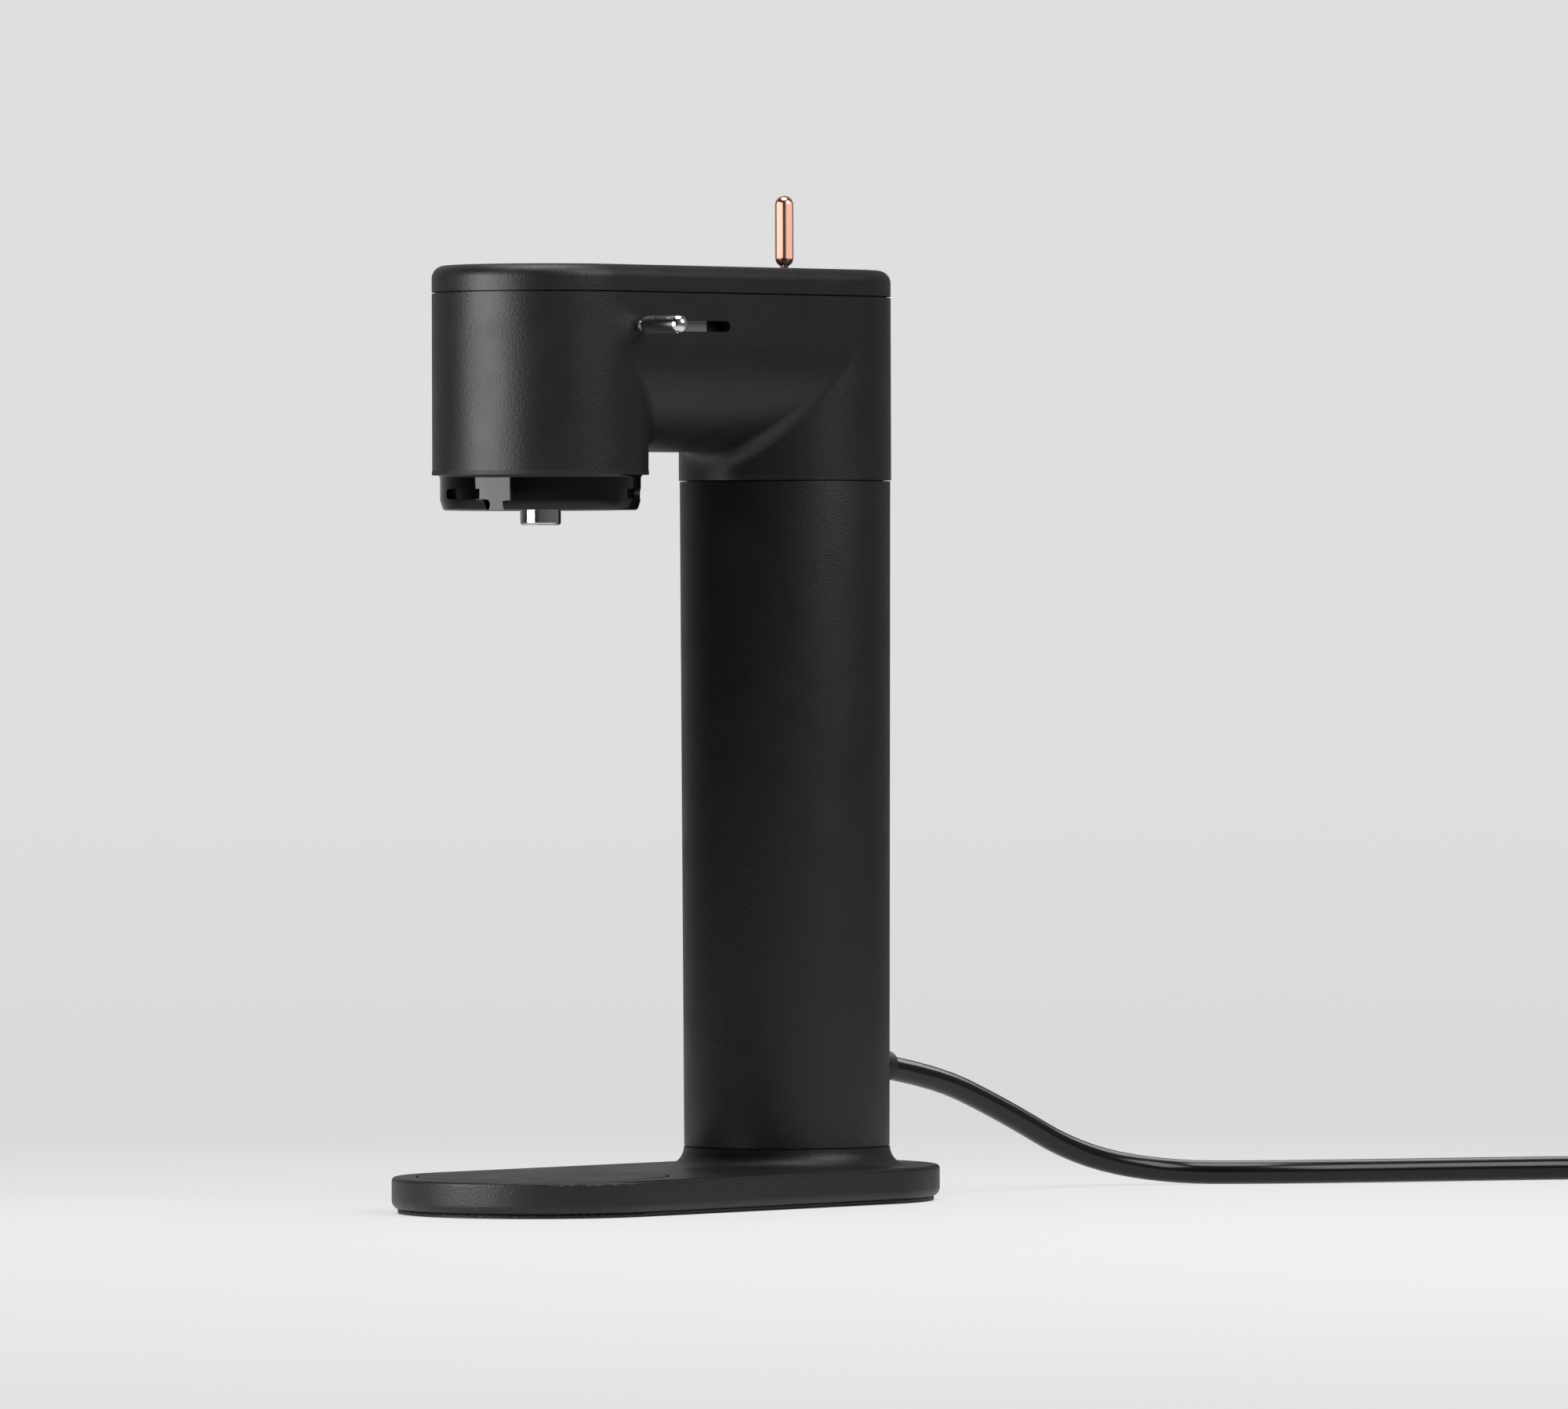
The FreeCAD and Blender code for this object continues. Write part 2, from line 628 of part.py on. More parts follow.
def bottle_collar():
    """Gloss collar with a hollow socket and three L-shaped bayonet tracks."""
    outline = [
        (MANIFOLD_HOLE_R, COLLAR_TOP), (MANIFOLD_HOLE_R, SOCKET_TOP), (SOCKET_R, SOCKET_TOP),
        (SOCKET_R, COLLAR_BOTTOM + 1.0), (SOCKET_R + 1.0, COLLAR_BOTTOM), (COLLAR_R - 2.1, COLLAR_BOTTOM),
        (COLLAR_R - 1.1, COLLAR_BOTTOM + 0.9), (COLLAR_R, COLLAR_BOTTOM + 4.5),
        (COLLAR_R, COLLAR_TOP - 1.4), (COLLAR_R + 0.9, COLLAR_TOP),
    ]
    collar = revolve(outline, 0, FRONT)
    for index in range(3):
        collar = collar.cut(bayonet_track(TRACK_START + 120 * index))
    for x, y in COLLAR_SCREW_SPOTS:
        collar = collar.cut(cyl(x, y, SOCKET_TOP - 1, HEAD_BOTTOM, SCREW_CLEAR_R))
        collar = collar.cut(cyl(x, y, SOCKET_TOP - 1, SEAT_Z, HEAD_CLEAR_R))
    return collar.removeSplitter()


def bayonet_track(angle):
    """Cutter for one track: an entry slot open below and a run around the collar."""
    half = math.degrees(TRACK_WIDTH / 2 / COLLAR_R)
    below = COLLAR_BOTTOM - 1
    core = cyl(0, FRONT, below - 1, COLLAR_TOP, COLLAR_R - TRACK_DEPTH)
    ring = cyl(0, FRONT, TRACK_Z[0], TRACK_Z[1], COLLAR_R + 7).cut(core)
    entry = cyl(0, FRONT, below, TRACK_Z[1], COLLAR_R + 7).cut(core)
    run = ring.common(wedge(angle + TRACK_SWEEP, angle + half, below, COLLAR_TOP))
    return run.fuse(entry.common(wedge(angle - half, angle + half, below - 1, COLLAR_TOP)))


def wedge(start, end, z0, z1):
    """Slice of pie about the front axis between two angles in degrees."""
    reach = 70.0
    spots = ring_spots(0, FRONT, reach, (start, (start + end) / 2, end))
    points = [V(0, FRONT, z0)] + [V(x, y, z0) for x, y in spots]
    return Part.Face(Part.makePolygon(points + points[:1])).extrude(V(0, 0, z1 - z0))


def collar_flange():
    """Thin rubber ring between the collar and the head."""
    ring = cyl(0, FRONT, COLLAR_TOP, HEAD_BOTTOM, HEAD_R + 0.15)
    ring = ring.cut(cyl(0, FRONT, COLLAR_TOP - 1, HEAD_BOTTOM + 1, MANIFOLD_HOLE_R))
    for x, y in COLLAR_SCREW_SPOTS:
        ring = ring.cut(cyl(x, y, COLLAR_TOP - 1, HEAD_BOTTOM + 1, SCREW_CLEAR_R))
    return ring


def collar_screws():
    """Three screws that clamp the collar to the head's floor."""
    return Part.makeCompound([slotted_screw(x, y, SOCKET_TOP, SEAT_Z - SOCKET_TOP, FLOOR_Z + 3)
                              for x, y in COLLAR_SCREW_SPOTS])


def bottle_seal():
    """Soft ring that the bottle's mouth presses against."""
    outline = [
        (MANIFOLD_HOLE_R, SOCKET_TOP), (MANIFOLD_HOLE_R, SOCKET_TOP - 3.4), (10.0, SOCKET_TOP - 4.2),
        (17.0, SOCKET_TOP - 4.2), (18.0, SOCKET_TOP - 3.2), (18.0, SOCKET_TOP),
    ]
    return revolve(outline, 0, FRONT)


# Inside the head --------------------------------------------------------------------------------

SOLENOID = (-20.0, 18.0)
BOARD = (8.0, 33.0, -26.0, 36.0)
BOARD_Z = 361.0


def solenoid_body():
    """Round coil can on a square foot, open at the top for its core."""
    x, y = SOLENOID
    z0 = PLATE_Z + PLATE_T
    can = box(x - 11, x + 11, y - 11, y + 11, z0, z0 + 4).fuse(cyl(x, y, z0 + 4, z0 + 26, 10.5))
    can = can.fuse(cyl(x, y, z0 + 26, z0 + 28, 7))
    return can.cut(cyl(x, y, z0 + 6, z0 + 29, 4.0 + FIT))


def solenoid_core():
    """Moving iron core of the solenoid valve."""
    x, y = SOLENOID
    z0 = PLATE_Z + PLATE_T
    return cyl(x, y, z0 + 9, z0 + 31, 4.0).fuse(cyl(x, y, z0 + 30, z0 + 32, 5.0))


def board_posts():
    """Four pillars under the control board."""
    x0, x1, y0, y1 = BOARD
    posts = []
    for x in (x0 + 3, x1 - 3):
        for y in (y0 + 3, y1 - 3):
            posts.append(cyl(x, y, PLATE_Z + PLATE_T, BOARD_Z, 2.0))
    return Part.makeCompound(posts)


def control_board():
    """Circuit board with a transformer, a capacitor, a relay and a chip."""
    x0, x1, y0, y1 = BOARD
    z1 = BOARD_Z + 1.6
    board = box(x0, x1, y0, y1, BOARD_Z, z1)
    board = board.fuse(box(x0 + 3, x0 + 17, y1 - 20, y1 - 6, z1, z1 + 11))
    board = board.fuse(cyl(x1 - 6, y1 - 12, z1, z1 + 12, 4))
    board = board.fuse(box(x0 + 2, x0 + 14, y0 + 24, y0 + 36, z1, z1 + 8))
    return board.fuse(box(x1 - 14, x1 - 4, y0 + 8, y0 + 16, z1, z1 + 1.4)).removeSplitter()


RAIL_X = (36.4, INNER_R)
PLATE_X = (INNER_R - 3.6, INNER_R - 0.5)
SHUTTER = (PEG_Y - 8.0, FRONT + 58.5)


def slider_rail():
    """Channel behind the side slot: two lips that hold the shutter against the wall."""
    y0 = FRONT + 4.0
    y1 = SHUTTER[1] + PEG_TRAVEL + 1.5
    body = box(RAIL_X[0], RAIL_X[1], y0, y1, SLOT_Z - 8, SLOT_Z + 8)
    body = body.cut(box(PLATE_X[0] - 0.3, RAIL_X[1] + 1, y0 - 1, y1 + 1, SLOT_Z - 5.3, SLOT_Z + 5.3))
    return body.common(head_inner())


def slider_plate():
    """Grey shutter that follows the peg behind the slot."""
    return box(PLATE_X[0], PLATE_X[1], SHUTTER[0], SHUTTER[1], SLOT_Z - 5, SLOT_Z + 5)


def peg_stem():
    """Thin stem from the shutter out through the slot."""
    return rod((PLATE_X[1], PEG_Y, SLOT_Z), (PEG_START + 1.4, PEG_Y, SLOT_Z), PEG_STEM_R)


def side_peg():
    """Chrome capsule on the stem."""
    peg = capsule((PEG_START, PEG_Y, SLOT_Z), (1, 0, 0), CAPSULE_R, PEG_L)
    return peg.cut(rod((HEAD_R, PEG_Y, SLOT_Z), (PEG_START + 1.4, PEG_Y, SLOT_Z), PEG_STEM_R))


# Lever ------------------------------------------------------------------------------------------

def lever_capsule():
    """Copper capsule that the hand tilts."""
    cap = capsule((0, REAR, LEVER_BOTTOM), (0, 0, 1), CAPSULE_R, LEVER_L)
    return cap.cut(cyl(0, REAR, LEVER_BOTTOM - 1, LEVER_BOTTOM + 6, 1.8))


def lever_core():
    """Stem, pivot barrel and the arm that presses the plunger."""
    barrel = rod((-7.6, REAR, LEVER_Z), (7.6, REAR, LEVER_Z), 3.0)
    stem = cyl(0, REAR, LEVER_Z, LEVER_BOTTOM + 6, 1.8)
    arm = box(-3, 3, REAR - LEVER_ARM, REAR, LEVER_Z - 1, LEVER_Z + 1)
    tip = rod((-3, REAR - LEVER_ARM, LEVER_Z), (3, REAR - LEVER_ARM, LEVER_Z), 1.5)
    core = barrel.fuse([stem, arm, tip])
    return core.cut(rod((-9, REAR, LEVER_Z), (9, REAR, LEVER_Z), PIN_R + FIT)).removeSplitter()


def lever_pin():
    """Steel pin in the lid's lugs."""
    return rod((-11, REAR, LEVER_Z), (11, REAR, LEVER_Z), PIN_R)


def plunger():
    """Pin that the lever presses down into the valve block, with a spring collar."""
    top = LEVER_Z - 1.8
    pin = cyl(0, PLUNGER_Y, 375.5, top, PLUNGER_R)
    return pin.fuse(cyl(0, PLUNGER_Y, top - 2.2, top - 1.0, 4.2))


def plunger_spring():
    """Return spring between the block and the plunger's collar."""
    z0 = BLOCK_TOP
    z1 = LEVER_Z - 4.0
    helix = Part.makeHelix((z1 - z0 - 0.7) / 4.0, z1 - z0 - 0.7, 3.4)
    circle = Part.Wire(Part.Circle(V(3.4, 0, 0), V(0, 1, 0), 0.3).toShape())
    wire = Part.Wire(helix.Edges).makePipeShell([circle], True, False)
    wire.translate(V(0, PLUNGER_Y, z0 + 0.35))
    return wire


# Gas cylinder -----------------------------------------------------------------------------------

def gas_cylinder():
    """Hollow aluminium gas cylinder with a dished foot and a domed shoulder."""
    outline = [
        (0, CYL_BOTTOM + 6), (22, CYL_BOTTOM), (26, CYL_BOTTOM), (CYL_R, CYL_BOTTOM + 4), (CYL_R, CYL_SHOULDER),
        (28.6, CYL_SHOULDER + 8), (24.5, CYL_SHOULDER + 15), (18.0, CYL_SHOULDER + 20), (11.5, CYL_NECK_Z),
        (11.5, CYL_NECK_Z + 7), (0, CYL_NECK_Z + 7),
    ]
    wall = 2.8
    hollow = cyl(0, REAR, CYL_BOTTOM + 6 + wall, CYL_SHOULDER + 4, CYL_R - wall)
    return revolve(outline, 0, REAR).cut(hollow)


def cylinder_valve():
    """Brass valve screwed into the cylinder's neck."""
    z0 = CYL_NECK_Z + 7
    valve = cyl(0, REAR, z0, VALVE_TOP, VALVE_R)
    return valve.cut(cyl(0, REAR, VALVE_TOP - 4, VALVE_TOP + 1, 3))


PARTS = {
    "base_plate": base_plate,
    "ballast_plate": ballast_plate,
    "foot_pad": foot_pad,
    "bottle_mat": bottle_mat,
    "bottom_cover": bottom_cover,
    "base_screws": base_screws,
    "foot_ring": foot_ring,
    "column_shell": column_shell,
    "joint_ring": joint_ring,
    "cylinder_guides": cylinder_guides,
    "terminal_block": terminal_block,
    "strain_relief": strain_relief,
    "wires": wires,
    "mains_cord": mains_cord,
    "cord_coil": cord_coil,
    "cord_plug": cord_plug,
    "head_casting": head_casting,
    "head_lid": head_lid,
    "lid_screws": lid_screws,
    "carrier_plate": carrier_plate,
    "valve_block": valve_block,
    "gas_tube": gas_tube,
    "nozzle_manifold": nozzle_manifold,
    "relief_poppet": relief_poppet,
    "nozzle": nozzle,
    "bottle_collar": bottle_collar,
    "collar_flange": collar_flange,
    "collar_screws": collar_screws,
    "bottle_seal": bottle_seal,
    "solenoid_body": solenoid_body,
    "solenoid_core": solenoid_core,
    "board_posts": board_posts,
    "control_board": control_board,
    "slider_rail": slider_rail,
    "slider_plate": slider_plate,
    "peg_stem": peg_stem,
    "side_peg": side_peg,
    "lever_capsule": lever_capsule,
    "lever_core": lever_core,
    "lever_pin": lever_pin,
    "plunger": plunger,
    "plunger_spring": plunger_spring,
    "gas_cylinder": gas_cylinder,
    "cylinder_valve": cylinder_valve,
}

os.makedirs("parts", exist_ok=True)
for part_name, make in PARTS.items():
    save(make(), part_name)
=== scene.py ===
"""Soda carbonator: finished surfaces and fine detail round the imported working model.

Everything is in metres in the model's own frame: +Z up, the bottle stands towards -Y, the column
towards +Y, and the side slot is in the +X wall.
"""

import logging
import math
from contextlib import contextmanager
from dataclasses import dataclass
from enum import Enum
from functools import cache
from typing import Any, Iterable, Iterator, Sequence

import bmesh
import bpy
from mathutils import Matrix, Vector


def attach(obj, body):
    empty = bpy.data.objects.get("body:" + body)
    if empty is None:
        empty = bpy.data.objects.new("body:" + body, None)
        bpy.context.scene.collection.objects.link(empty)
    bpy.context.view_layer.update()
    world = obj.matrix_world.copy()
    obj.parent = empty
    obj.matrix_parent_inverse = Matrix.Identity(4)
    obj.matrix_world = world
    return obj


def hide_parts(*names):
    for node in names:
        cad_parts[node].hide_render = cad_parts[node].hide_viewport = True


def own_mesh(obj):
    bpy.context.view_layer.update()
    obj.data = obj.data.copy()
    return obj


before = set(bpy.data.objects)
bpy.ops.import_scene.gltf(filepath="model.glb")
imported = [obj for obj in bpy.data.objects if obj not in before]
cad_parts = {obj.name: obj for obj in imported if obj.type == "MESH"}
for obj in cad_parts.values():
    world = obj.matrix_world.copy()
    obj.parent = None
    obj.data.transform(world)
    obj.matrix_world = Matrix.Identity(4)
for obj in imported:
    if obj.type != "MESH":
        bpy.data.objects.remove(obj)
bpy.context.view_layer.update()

LOG = logging.getLogger("carbonator")
MM = 0.001
# How much more a large face counts than a small one in the shading of their shared points
AREA_WEIGHT = 80
# Widths of the slow changes of tint and of gloss over every surface
CLOUD_MM = 45.45
SMEAR_MM = 18.18

UP = Vector((0, 0, 1))

Point = tuple[float, float, float]


# Colours, nodes and small mesh helpers ------------------------------------------------------------

def linear(hex_code: str) -> tuple[float, float, float, float]:
    """Turn an sRGB hex colour into linear red, green, blue and alpha.

    Args:
        hex_code: six hex digits, with or without a leading #.

    Returns:
        Four linear values, alpha 1.
    """
    digits = hex_code.lstrip("#")
    channels = [int(digits[i:i + 2], 16) / 255 for i in (0, 2, 4)]
    turned = [c / 12.92 if c <= 0.04045 else ((c + 0.055) / 1.055) ** 2.4 for c in channels]
    return turned[0], turned[1], turned[2], 1.0


def add_node(tree: bpy.types.NodeTree, kind: str, inputs: dict[Any, Any] | None = None,
             **settings: Any) -> bpy.types.Node:
    """Add one node, set its properties, and set or link its inputs.

    Args:
        tree: shader or geometry node tree.
        kind: Blender's node type name.
        inputs: input name or index to a value, or to what feeds it: an output socket, a node, for
            its first output, or a list of these for an input that takes several.
        settings: properties of the node itself.

    Returns:
        The new node.
    """
    node = tree.nodes.new(kind)
    for name, value in settings.items():
        setattr(node, name, value)
    for name, value in (inputs or {}).items():
        socket = node.inputs[name]
        for source in value if isinstance(value, list) else [value]:
            if isinstance(source, bpy.types.Node):
                source = source.outputs[0]
            if isinstance(source, bpy.types.NodeSocket):
                tree.links.new(source, socket)
            else:
                socket.default_value = source
    return node


def set_ramp(node: bpy.types.Node, stops: Sequence[tuple[float, tuple[float, ...]]]) -> None:
    """Give a colour ramp its stops.

    Args:
        node: ColorRamp node.
        stops: pairs of position and linear colour, in order.
    """
    elements = node.color_ramp.elements
    while len(elements) > 1:
        elements.remove(elements[-1])
    elements[0].position, elements[0].color = stops[0]
    for position, colour in stops[1:]:
        elements.new(position).color = colour


def link_object(obj: bpy.types.Object) -> bpy.types.Object:
    """Put an object into the scene and return it."""
    bpy.context.scene.collection.objects.link(obj)
    return obj


@contextmanager
def edited(mesh: bpy.types.Mesh) -> Iterator[bmesh.types.BMesh]:
    """Open a mesh for editing, and write it back at the end of the with block.

    Args:
        mesh: mesh to change.

    Yields:
        The editable copy.
    """
    bm = bmesh.new()
    bm.from_mesh(mesh)
    yield bm
    bm.to_mesh(mesh)
    bm.free()


def mesh_object(bm: bmesh.types.BMesh, name: str) -> bpy.types.Object:
    """Turn an editable mesh into an object in the scene.

    Args:
        bm: mesh to keep; it is freed here.
        name: name of the mesh and the object.

    Returns:
        The new object, at the origin.
    """
    mesh = bpy.data.meshes.new(name)
    bm.to_mesh(mesh)
    bm.free()
    return link_object(bpy.data.objects.new(name, mesh))


def stitch(bm: bmesh.types.BMesh, low: Sequence[bmesh.types.BMVert],
           high: Sequence[bmesh.types.BMVert]) -> list[bmesh.types.BMFace]:
    """Join two closed rings of points by a band of four-sided faces.

    Args:
        bm: mesh that holds the points.
        low: points of the first ring.
        high: points of the second ring, as many as in the first.

    Returns:
        The faces of the band.
    """
    count = len(low)
    return [bm.faces.new((low[k], low[(k + 1) % count], high[(k + 1) % count], high[k]))
            for k in range(count)]


def in_order(mesh: bpy.types.Mesh) -> None:
    """Rebuild a mesh with its points and faces in an order that depends on their places alone.

    A boolean gives them in another order on each run, and what follows would differ with it.

    Args:
        mesh: mesh without materials or shading of its own.
    """
    ranked = sorted(mesh.vertices, key=lambda vert: tuple(vert.co))
    new_index = {vert.index: place for place, vert in enumerate(ranked)}
    faces = []
    for face in mesh.polygons:
        ring = [new_index[index] for index in face.vertices]
        first = ring.index(min(ring))
        faces.append(ring[first:] + ring[:first])
    points = [tuple(vert.co) for vert in ranked]
    mesh.clear_geometry()
    mesh.from_pydata(points, [], sorted(faces))


def smooth_by_angle(mesh: bpy.types.Mesh, degrees: float) -> None:
    """Shade a mesh smooth and keep edges sharper than an angle crisp.

    Args:
        mesh: mesh to shade.
        degrees: smallest angle between two faces that stays a crisp edge.
    """
    mesh.shade_smooth()
    mesh.set_sharp_from_angle(angle=math.radians(degrees))


def applied(obj: bpy.types.Object) -> bpy.types.Object:
    """Turn an object's modifiers into plain mesh and take them off.

    Args:
        obj: object with live modifiers.

    Returns:
        The same object, without modifiers.
    """
    graph = bpy.context.evaluated_depsgraph_get()
    mesh = bpy.data.meshes.new_from_object(obj.evaluated_get(graph))
    mesh.name = obj.name
    obj.modifiers.clear()
    obj.data = mesh
    return obj


def soften(obj: bpy.types.Object, width: float, degrees: float = 40.0) -> bpy.types.Object:
    """Round the crisp edges of a piece by a small bevel that catches the light.

    Args:
        obj: piece with merged points.
        width: bevel width in metres.
        degrees: smallest angle between two faces that is an edge.

    Returns:
        The same object, with the bevel applied.
    """
    bevel = obj.modifiers.new("soft_edges", "BEVEL")
    bevel.width = width
    bevel.segments = 2
    bevel.limit_method = "ANGLE"
    bevel.angle_limit = math.radians(degrees)
    bevel.use_clamp_overlap = True
    return applied(obj)


def even_shading(obj: bpy.types.Object) -> bpy.types.Object:
    """Let large faces set the shading of the small ones beside them, so that flats look flat.

    Args:
        obj: piece with smooth shading and softened edges.

    Returns:
        The same object, with the new shading stored in its mesh.
    """
    weigh = obj.modifiers.new("even_shading", "WEIGHTED_NORMAL")
    weigh.mode = "FACE_AREA"
    weigh.weight = AREA_WEIGHT
    weigh.keep_sharp = True
    return applied(obj)


def merged_copy(node: str, name: str, degrees: float = 28.0, edge: float = 0.0) -> bpy.types.Object:
    """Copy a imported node's mesh with its points merged and smooth shading.

    Args:
        node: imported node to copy.
        name: name of the new piece.
        degrees: smallest angle that stays a crisp edge.
        edge: width in metres of the bevel on crisp edges, 0 for none.

    Returns:
        The new object, at the origin.
    """
    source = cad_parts[node].data.copy()
    source.name = name
    with edited(source) as bm:
        bmesh.ops.remove_doubles(bm, verts=bm.verts, dist=0.004 * MM)
        if edge:
            bmesh.ops.dissolve_limit(bm, angle_limit=math.radians(0.2), verts=bm.verts, edges=bm.edges)
    source.materials.clear()
    piece = link_object(bpy.data.objects.new(name, source))
    if edge:
        soften(piece, edge)
    smooth_by_angle(piece.data, degrees)
    return even_shading(piece) if edge else piece


class PieceTree:
    """Geometry tree with named sizes that makes one piece."""

    def __init__(self, name: str) -> None:
        """Start an empty tree with a geometry input and output.

        Args:
            name: name of the tree and of the piece that it makes.
        """
        self.name = name
        self.tree = bpy.data.node_groups.new(name, "GeometryNodeTree")
        self.tree.interface.new_socket("Geometry", in_out="INPUT", socket_type="NodeSocketGeometry")
        self.tree.interface.new_socket("Geometry", in_out="OUTPUT", socket_type="NodeSocketGeometry")
        self.entry = add_node(self.tree, "NodeGroupInput")
        self.sizes: dict[str, float] = {}

    def size(self, name: str, value: float) -> bpy.types.NodeSocket:
        """Add a named size.

        Args:
            name: name of the tree's input.
            value: its value, in metres or as a plain number.

        Returns:
            The socket that gives it inside the tree.
        """
        item = self.tree.interface.new_socket(name, in_out="INPUT", socket_type="NodeSocketFloat")
        self.sizes[item.identifier] = value
        return self.entry.outputs[name]

    def add(self, kind: str, inputs: dict[Any, Any] | None = None, **settings: Any) -> bpy.types.Node:
        """Add one node to this tree."""
        return add_node(self.tree, kind, inputs, **settings)

    def make(self, geometry: bpy.types.Node, paint: "Paint", degrees: float = 30.0,
             start: bpy.types.Mesh | None = None) -> bpy.types.Object:
        """Close the tree, run it and keep the result as a plain mesh.

        Args:
            geometry: node whose first output is the piece's geometry.
            paint: the piece's finish.
            degrees: smallest angle that stays a crisp edge.
            start: mesh that the tree's Geometry input holds, if it uses one.

        Returns:
            The finished object, with no modifier on it.
        """
        real = self.add("GeometryNodeRealizeInstances", {"Geometry": geometry})
        dressed = self.add("GeometryNodeSetMaterial", {"Geometry": real, "Material": paint.material()})
        self.add("NodeGroupOutput", {"Geometry": dressed})
        obj = link_object(bpy.data.objects.new(self.name, start or bpy.data.meshes.new(self.name)))
        modifier = obj.modifiers.new(self.name, "NODES")
        modifier.node_group = self.tree
        for identifier, value in self.sizes.items():
            modifier[identifier] = value
        applied(obj)
        smooth_by_angle(obj.data, degrees)
        return obj


def finish_piece(piece: bpy.types.Object, paint: "Paint", body: str,
                 nodes: Sequence[str] = ()) -> bpy.types.Object:
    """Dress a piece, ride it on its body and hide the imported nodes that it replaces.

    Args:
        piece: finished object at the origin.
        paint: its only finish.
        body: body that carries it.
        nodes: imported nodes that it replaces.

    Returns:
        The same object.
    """
    piece.data.materials.clear()
    piece.data.materials.append(paint.material())
    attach(piece, body)
    if nodes:
        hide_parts(*nodes)
    LOG.info("piece %s on %s", piece.name, body)
    return piece


# Finishes -----------------------------------------------------------------------------------------

@dataclass(frozen=True)
class Finish:
    """One surface finish: its colour, gloss, and the size and depth of its grain."""

    name: str
    colour: str
    roughness: float
    metallic: float = 0.0
    ior: float = 1.5
    grain_mm: float = 0.8
    bump_mm: float = 0.02
    roughness_swing: float = 0.05
    tint_swing: float = 0.08

    def make(self) -> bpy.types.Material:
        """Build the material: tinted base colour, varied roughness and a fine bump.

        Returns:
            The new material.
        """
        material = bpy.data.materials.new(self.name)
        material.use_nodes = True
        tree = material.node_tree
        tree.nodes.clear()
        place = add_node(tree, "ShaderNodeTexCoord").outputs["Object"]
        colour = self.colour_socket(tree, place)
        shader = add_node(tree, "ShaderNodeBsdfPrincipled", {"Base Color": colour, "Metallic": self.metallic})
        if not self.metallic:
            shader.inputs["IOR"].default_value = self.ior
        tree.links.new(self.roughness_socket(tree, place), shader.inputs["Roughness"])
        tree.links.new(self.bump_socket(tree, place), shader.inputs["Normal"])
        add_node(tree, "ShaderNodeOutputMaterial", {"Surface": shader})
        return material

    def colour_socket(self, tree: bpy.types.NodeTree, place: bpy.types.NodeSocket) -> bpy.types.NodeSocket:
        """Base colour with slow cloudy changes of tint.

        Args:
            tree: the material's node tree.
            place: object coordinates.

        Returns:
            The colour.
        """
        cloud = add_node(tree, "ShaderNodeTexNoise", {
            "Vector": place, "Scale": 1 / (CLOUD_MM * MM), "Detail": 3.0})
        base = linear(self.colour)
        low = tuple(c * (1 - self.tint_swing) for c in base[:3]) + (1.0,)
        high = tuple(min(1.0, c * (1 + self.tint_swing)) for c in base[:3]) + (1.0,)
        ramp = add_node(tree, "ShaderNodeValToRGB", {"Fac": cloud})
        set_ramp(ramp, [(0.3, low), (0.7, high)])
        return ramp.outputs["Color"]

    def roughness_socket(self, tree: bpy.types.NodeTree, place: bpy.types.NodeSocket) -> bpy.types.NodeSocket:
        """Roughness that drifts a little over the surface.

        Args:
            tree: the material's node tree.
            place: object coordinates.

        Returns:
            The roughness.
        """
        noise = add_node(tree, "ShaderNodeTexNoise", {
            "Vector": place, "Scale": 1 / (SMEAR_MM * MM), "Detail": 4.0})
        span = add_node(tree, "ShaderNodeMapRange", {
            "Value": noise, "From Min": 0.3, "From Max": 0.7,
            "To Min": max(0.01, self.roughness - self.roughness_swing),
            "To Max": self.roughness + self.roughness_swing})
        return span.outputs["Result"]

    def bump_socket(self, tree: bpy.types.NodeTree, place: bpy.types.NodeSocket) -> bpy.types.NodeSocket:
        """Fine even grain of the finish as a bump.

        Args:
            tree: the material's node tree.
            place: object coordinates.

        Returns:
            The bent normal.
        """
        grain = add_node(tree, "ShaderNodeTexNoise", {
            "Vector": place, "Scale": 1.0 / (self.grain_mm * MM), "Detail": 2.0, "Roughness": 0.6})
        bump = add_node(tree, "ShaderNodeBump", {
            "Strength": 1.0, "Distance": self.bump_mm * MM, "Height": grain})
        return bump.outputs["Normal"]


@dataclass(frozen=True)
class TurnedFinish(Finish):
    """A turned or drawn metal: faint rings round the axis of the piece instead of grain."""

    axis: Point = (0.0, 0.0, 1.0)
    ring_mm: float = 0.5

    def bump_socket(self, tree: bpy.types.NodeTree, place: bpy.types.NodeSocket) -> bpy.types.NodeSocket:
        """Fine lines across the axis, from a noise that is stretched round it.

        Args:
            tree: the material's node tree.
            place: object coordinates.

        Returns:
            The bent normal.
        """
        stretch = tuple(max(0.02, abs(a)) / (self.ring_mm * MM) for a in self.axis)
        scaled = add_node(tree, "ShaderNodeVectorMath", {0: place, 1: stretch}, operation="MULTIPLY")
        lines = add_node(tree, "ShaderNodeTexNoise", {"Vector": scaled, "Scale": 1.0, "Detail": 2.0})
        bump = add_node(tree, "ShaderNodeBump", {
            "Strength": 0.6, "Distance": self.bump_mm * MM, "Height": lines})
        return bump.outputs["Normal"]


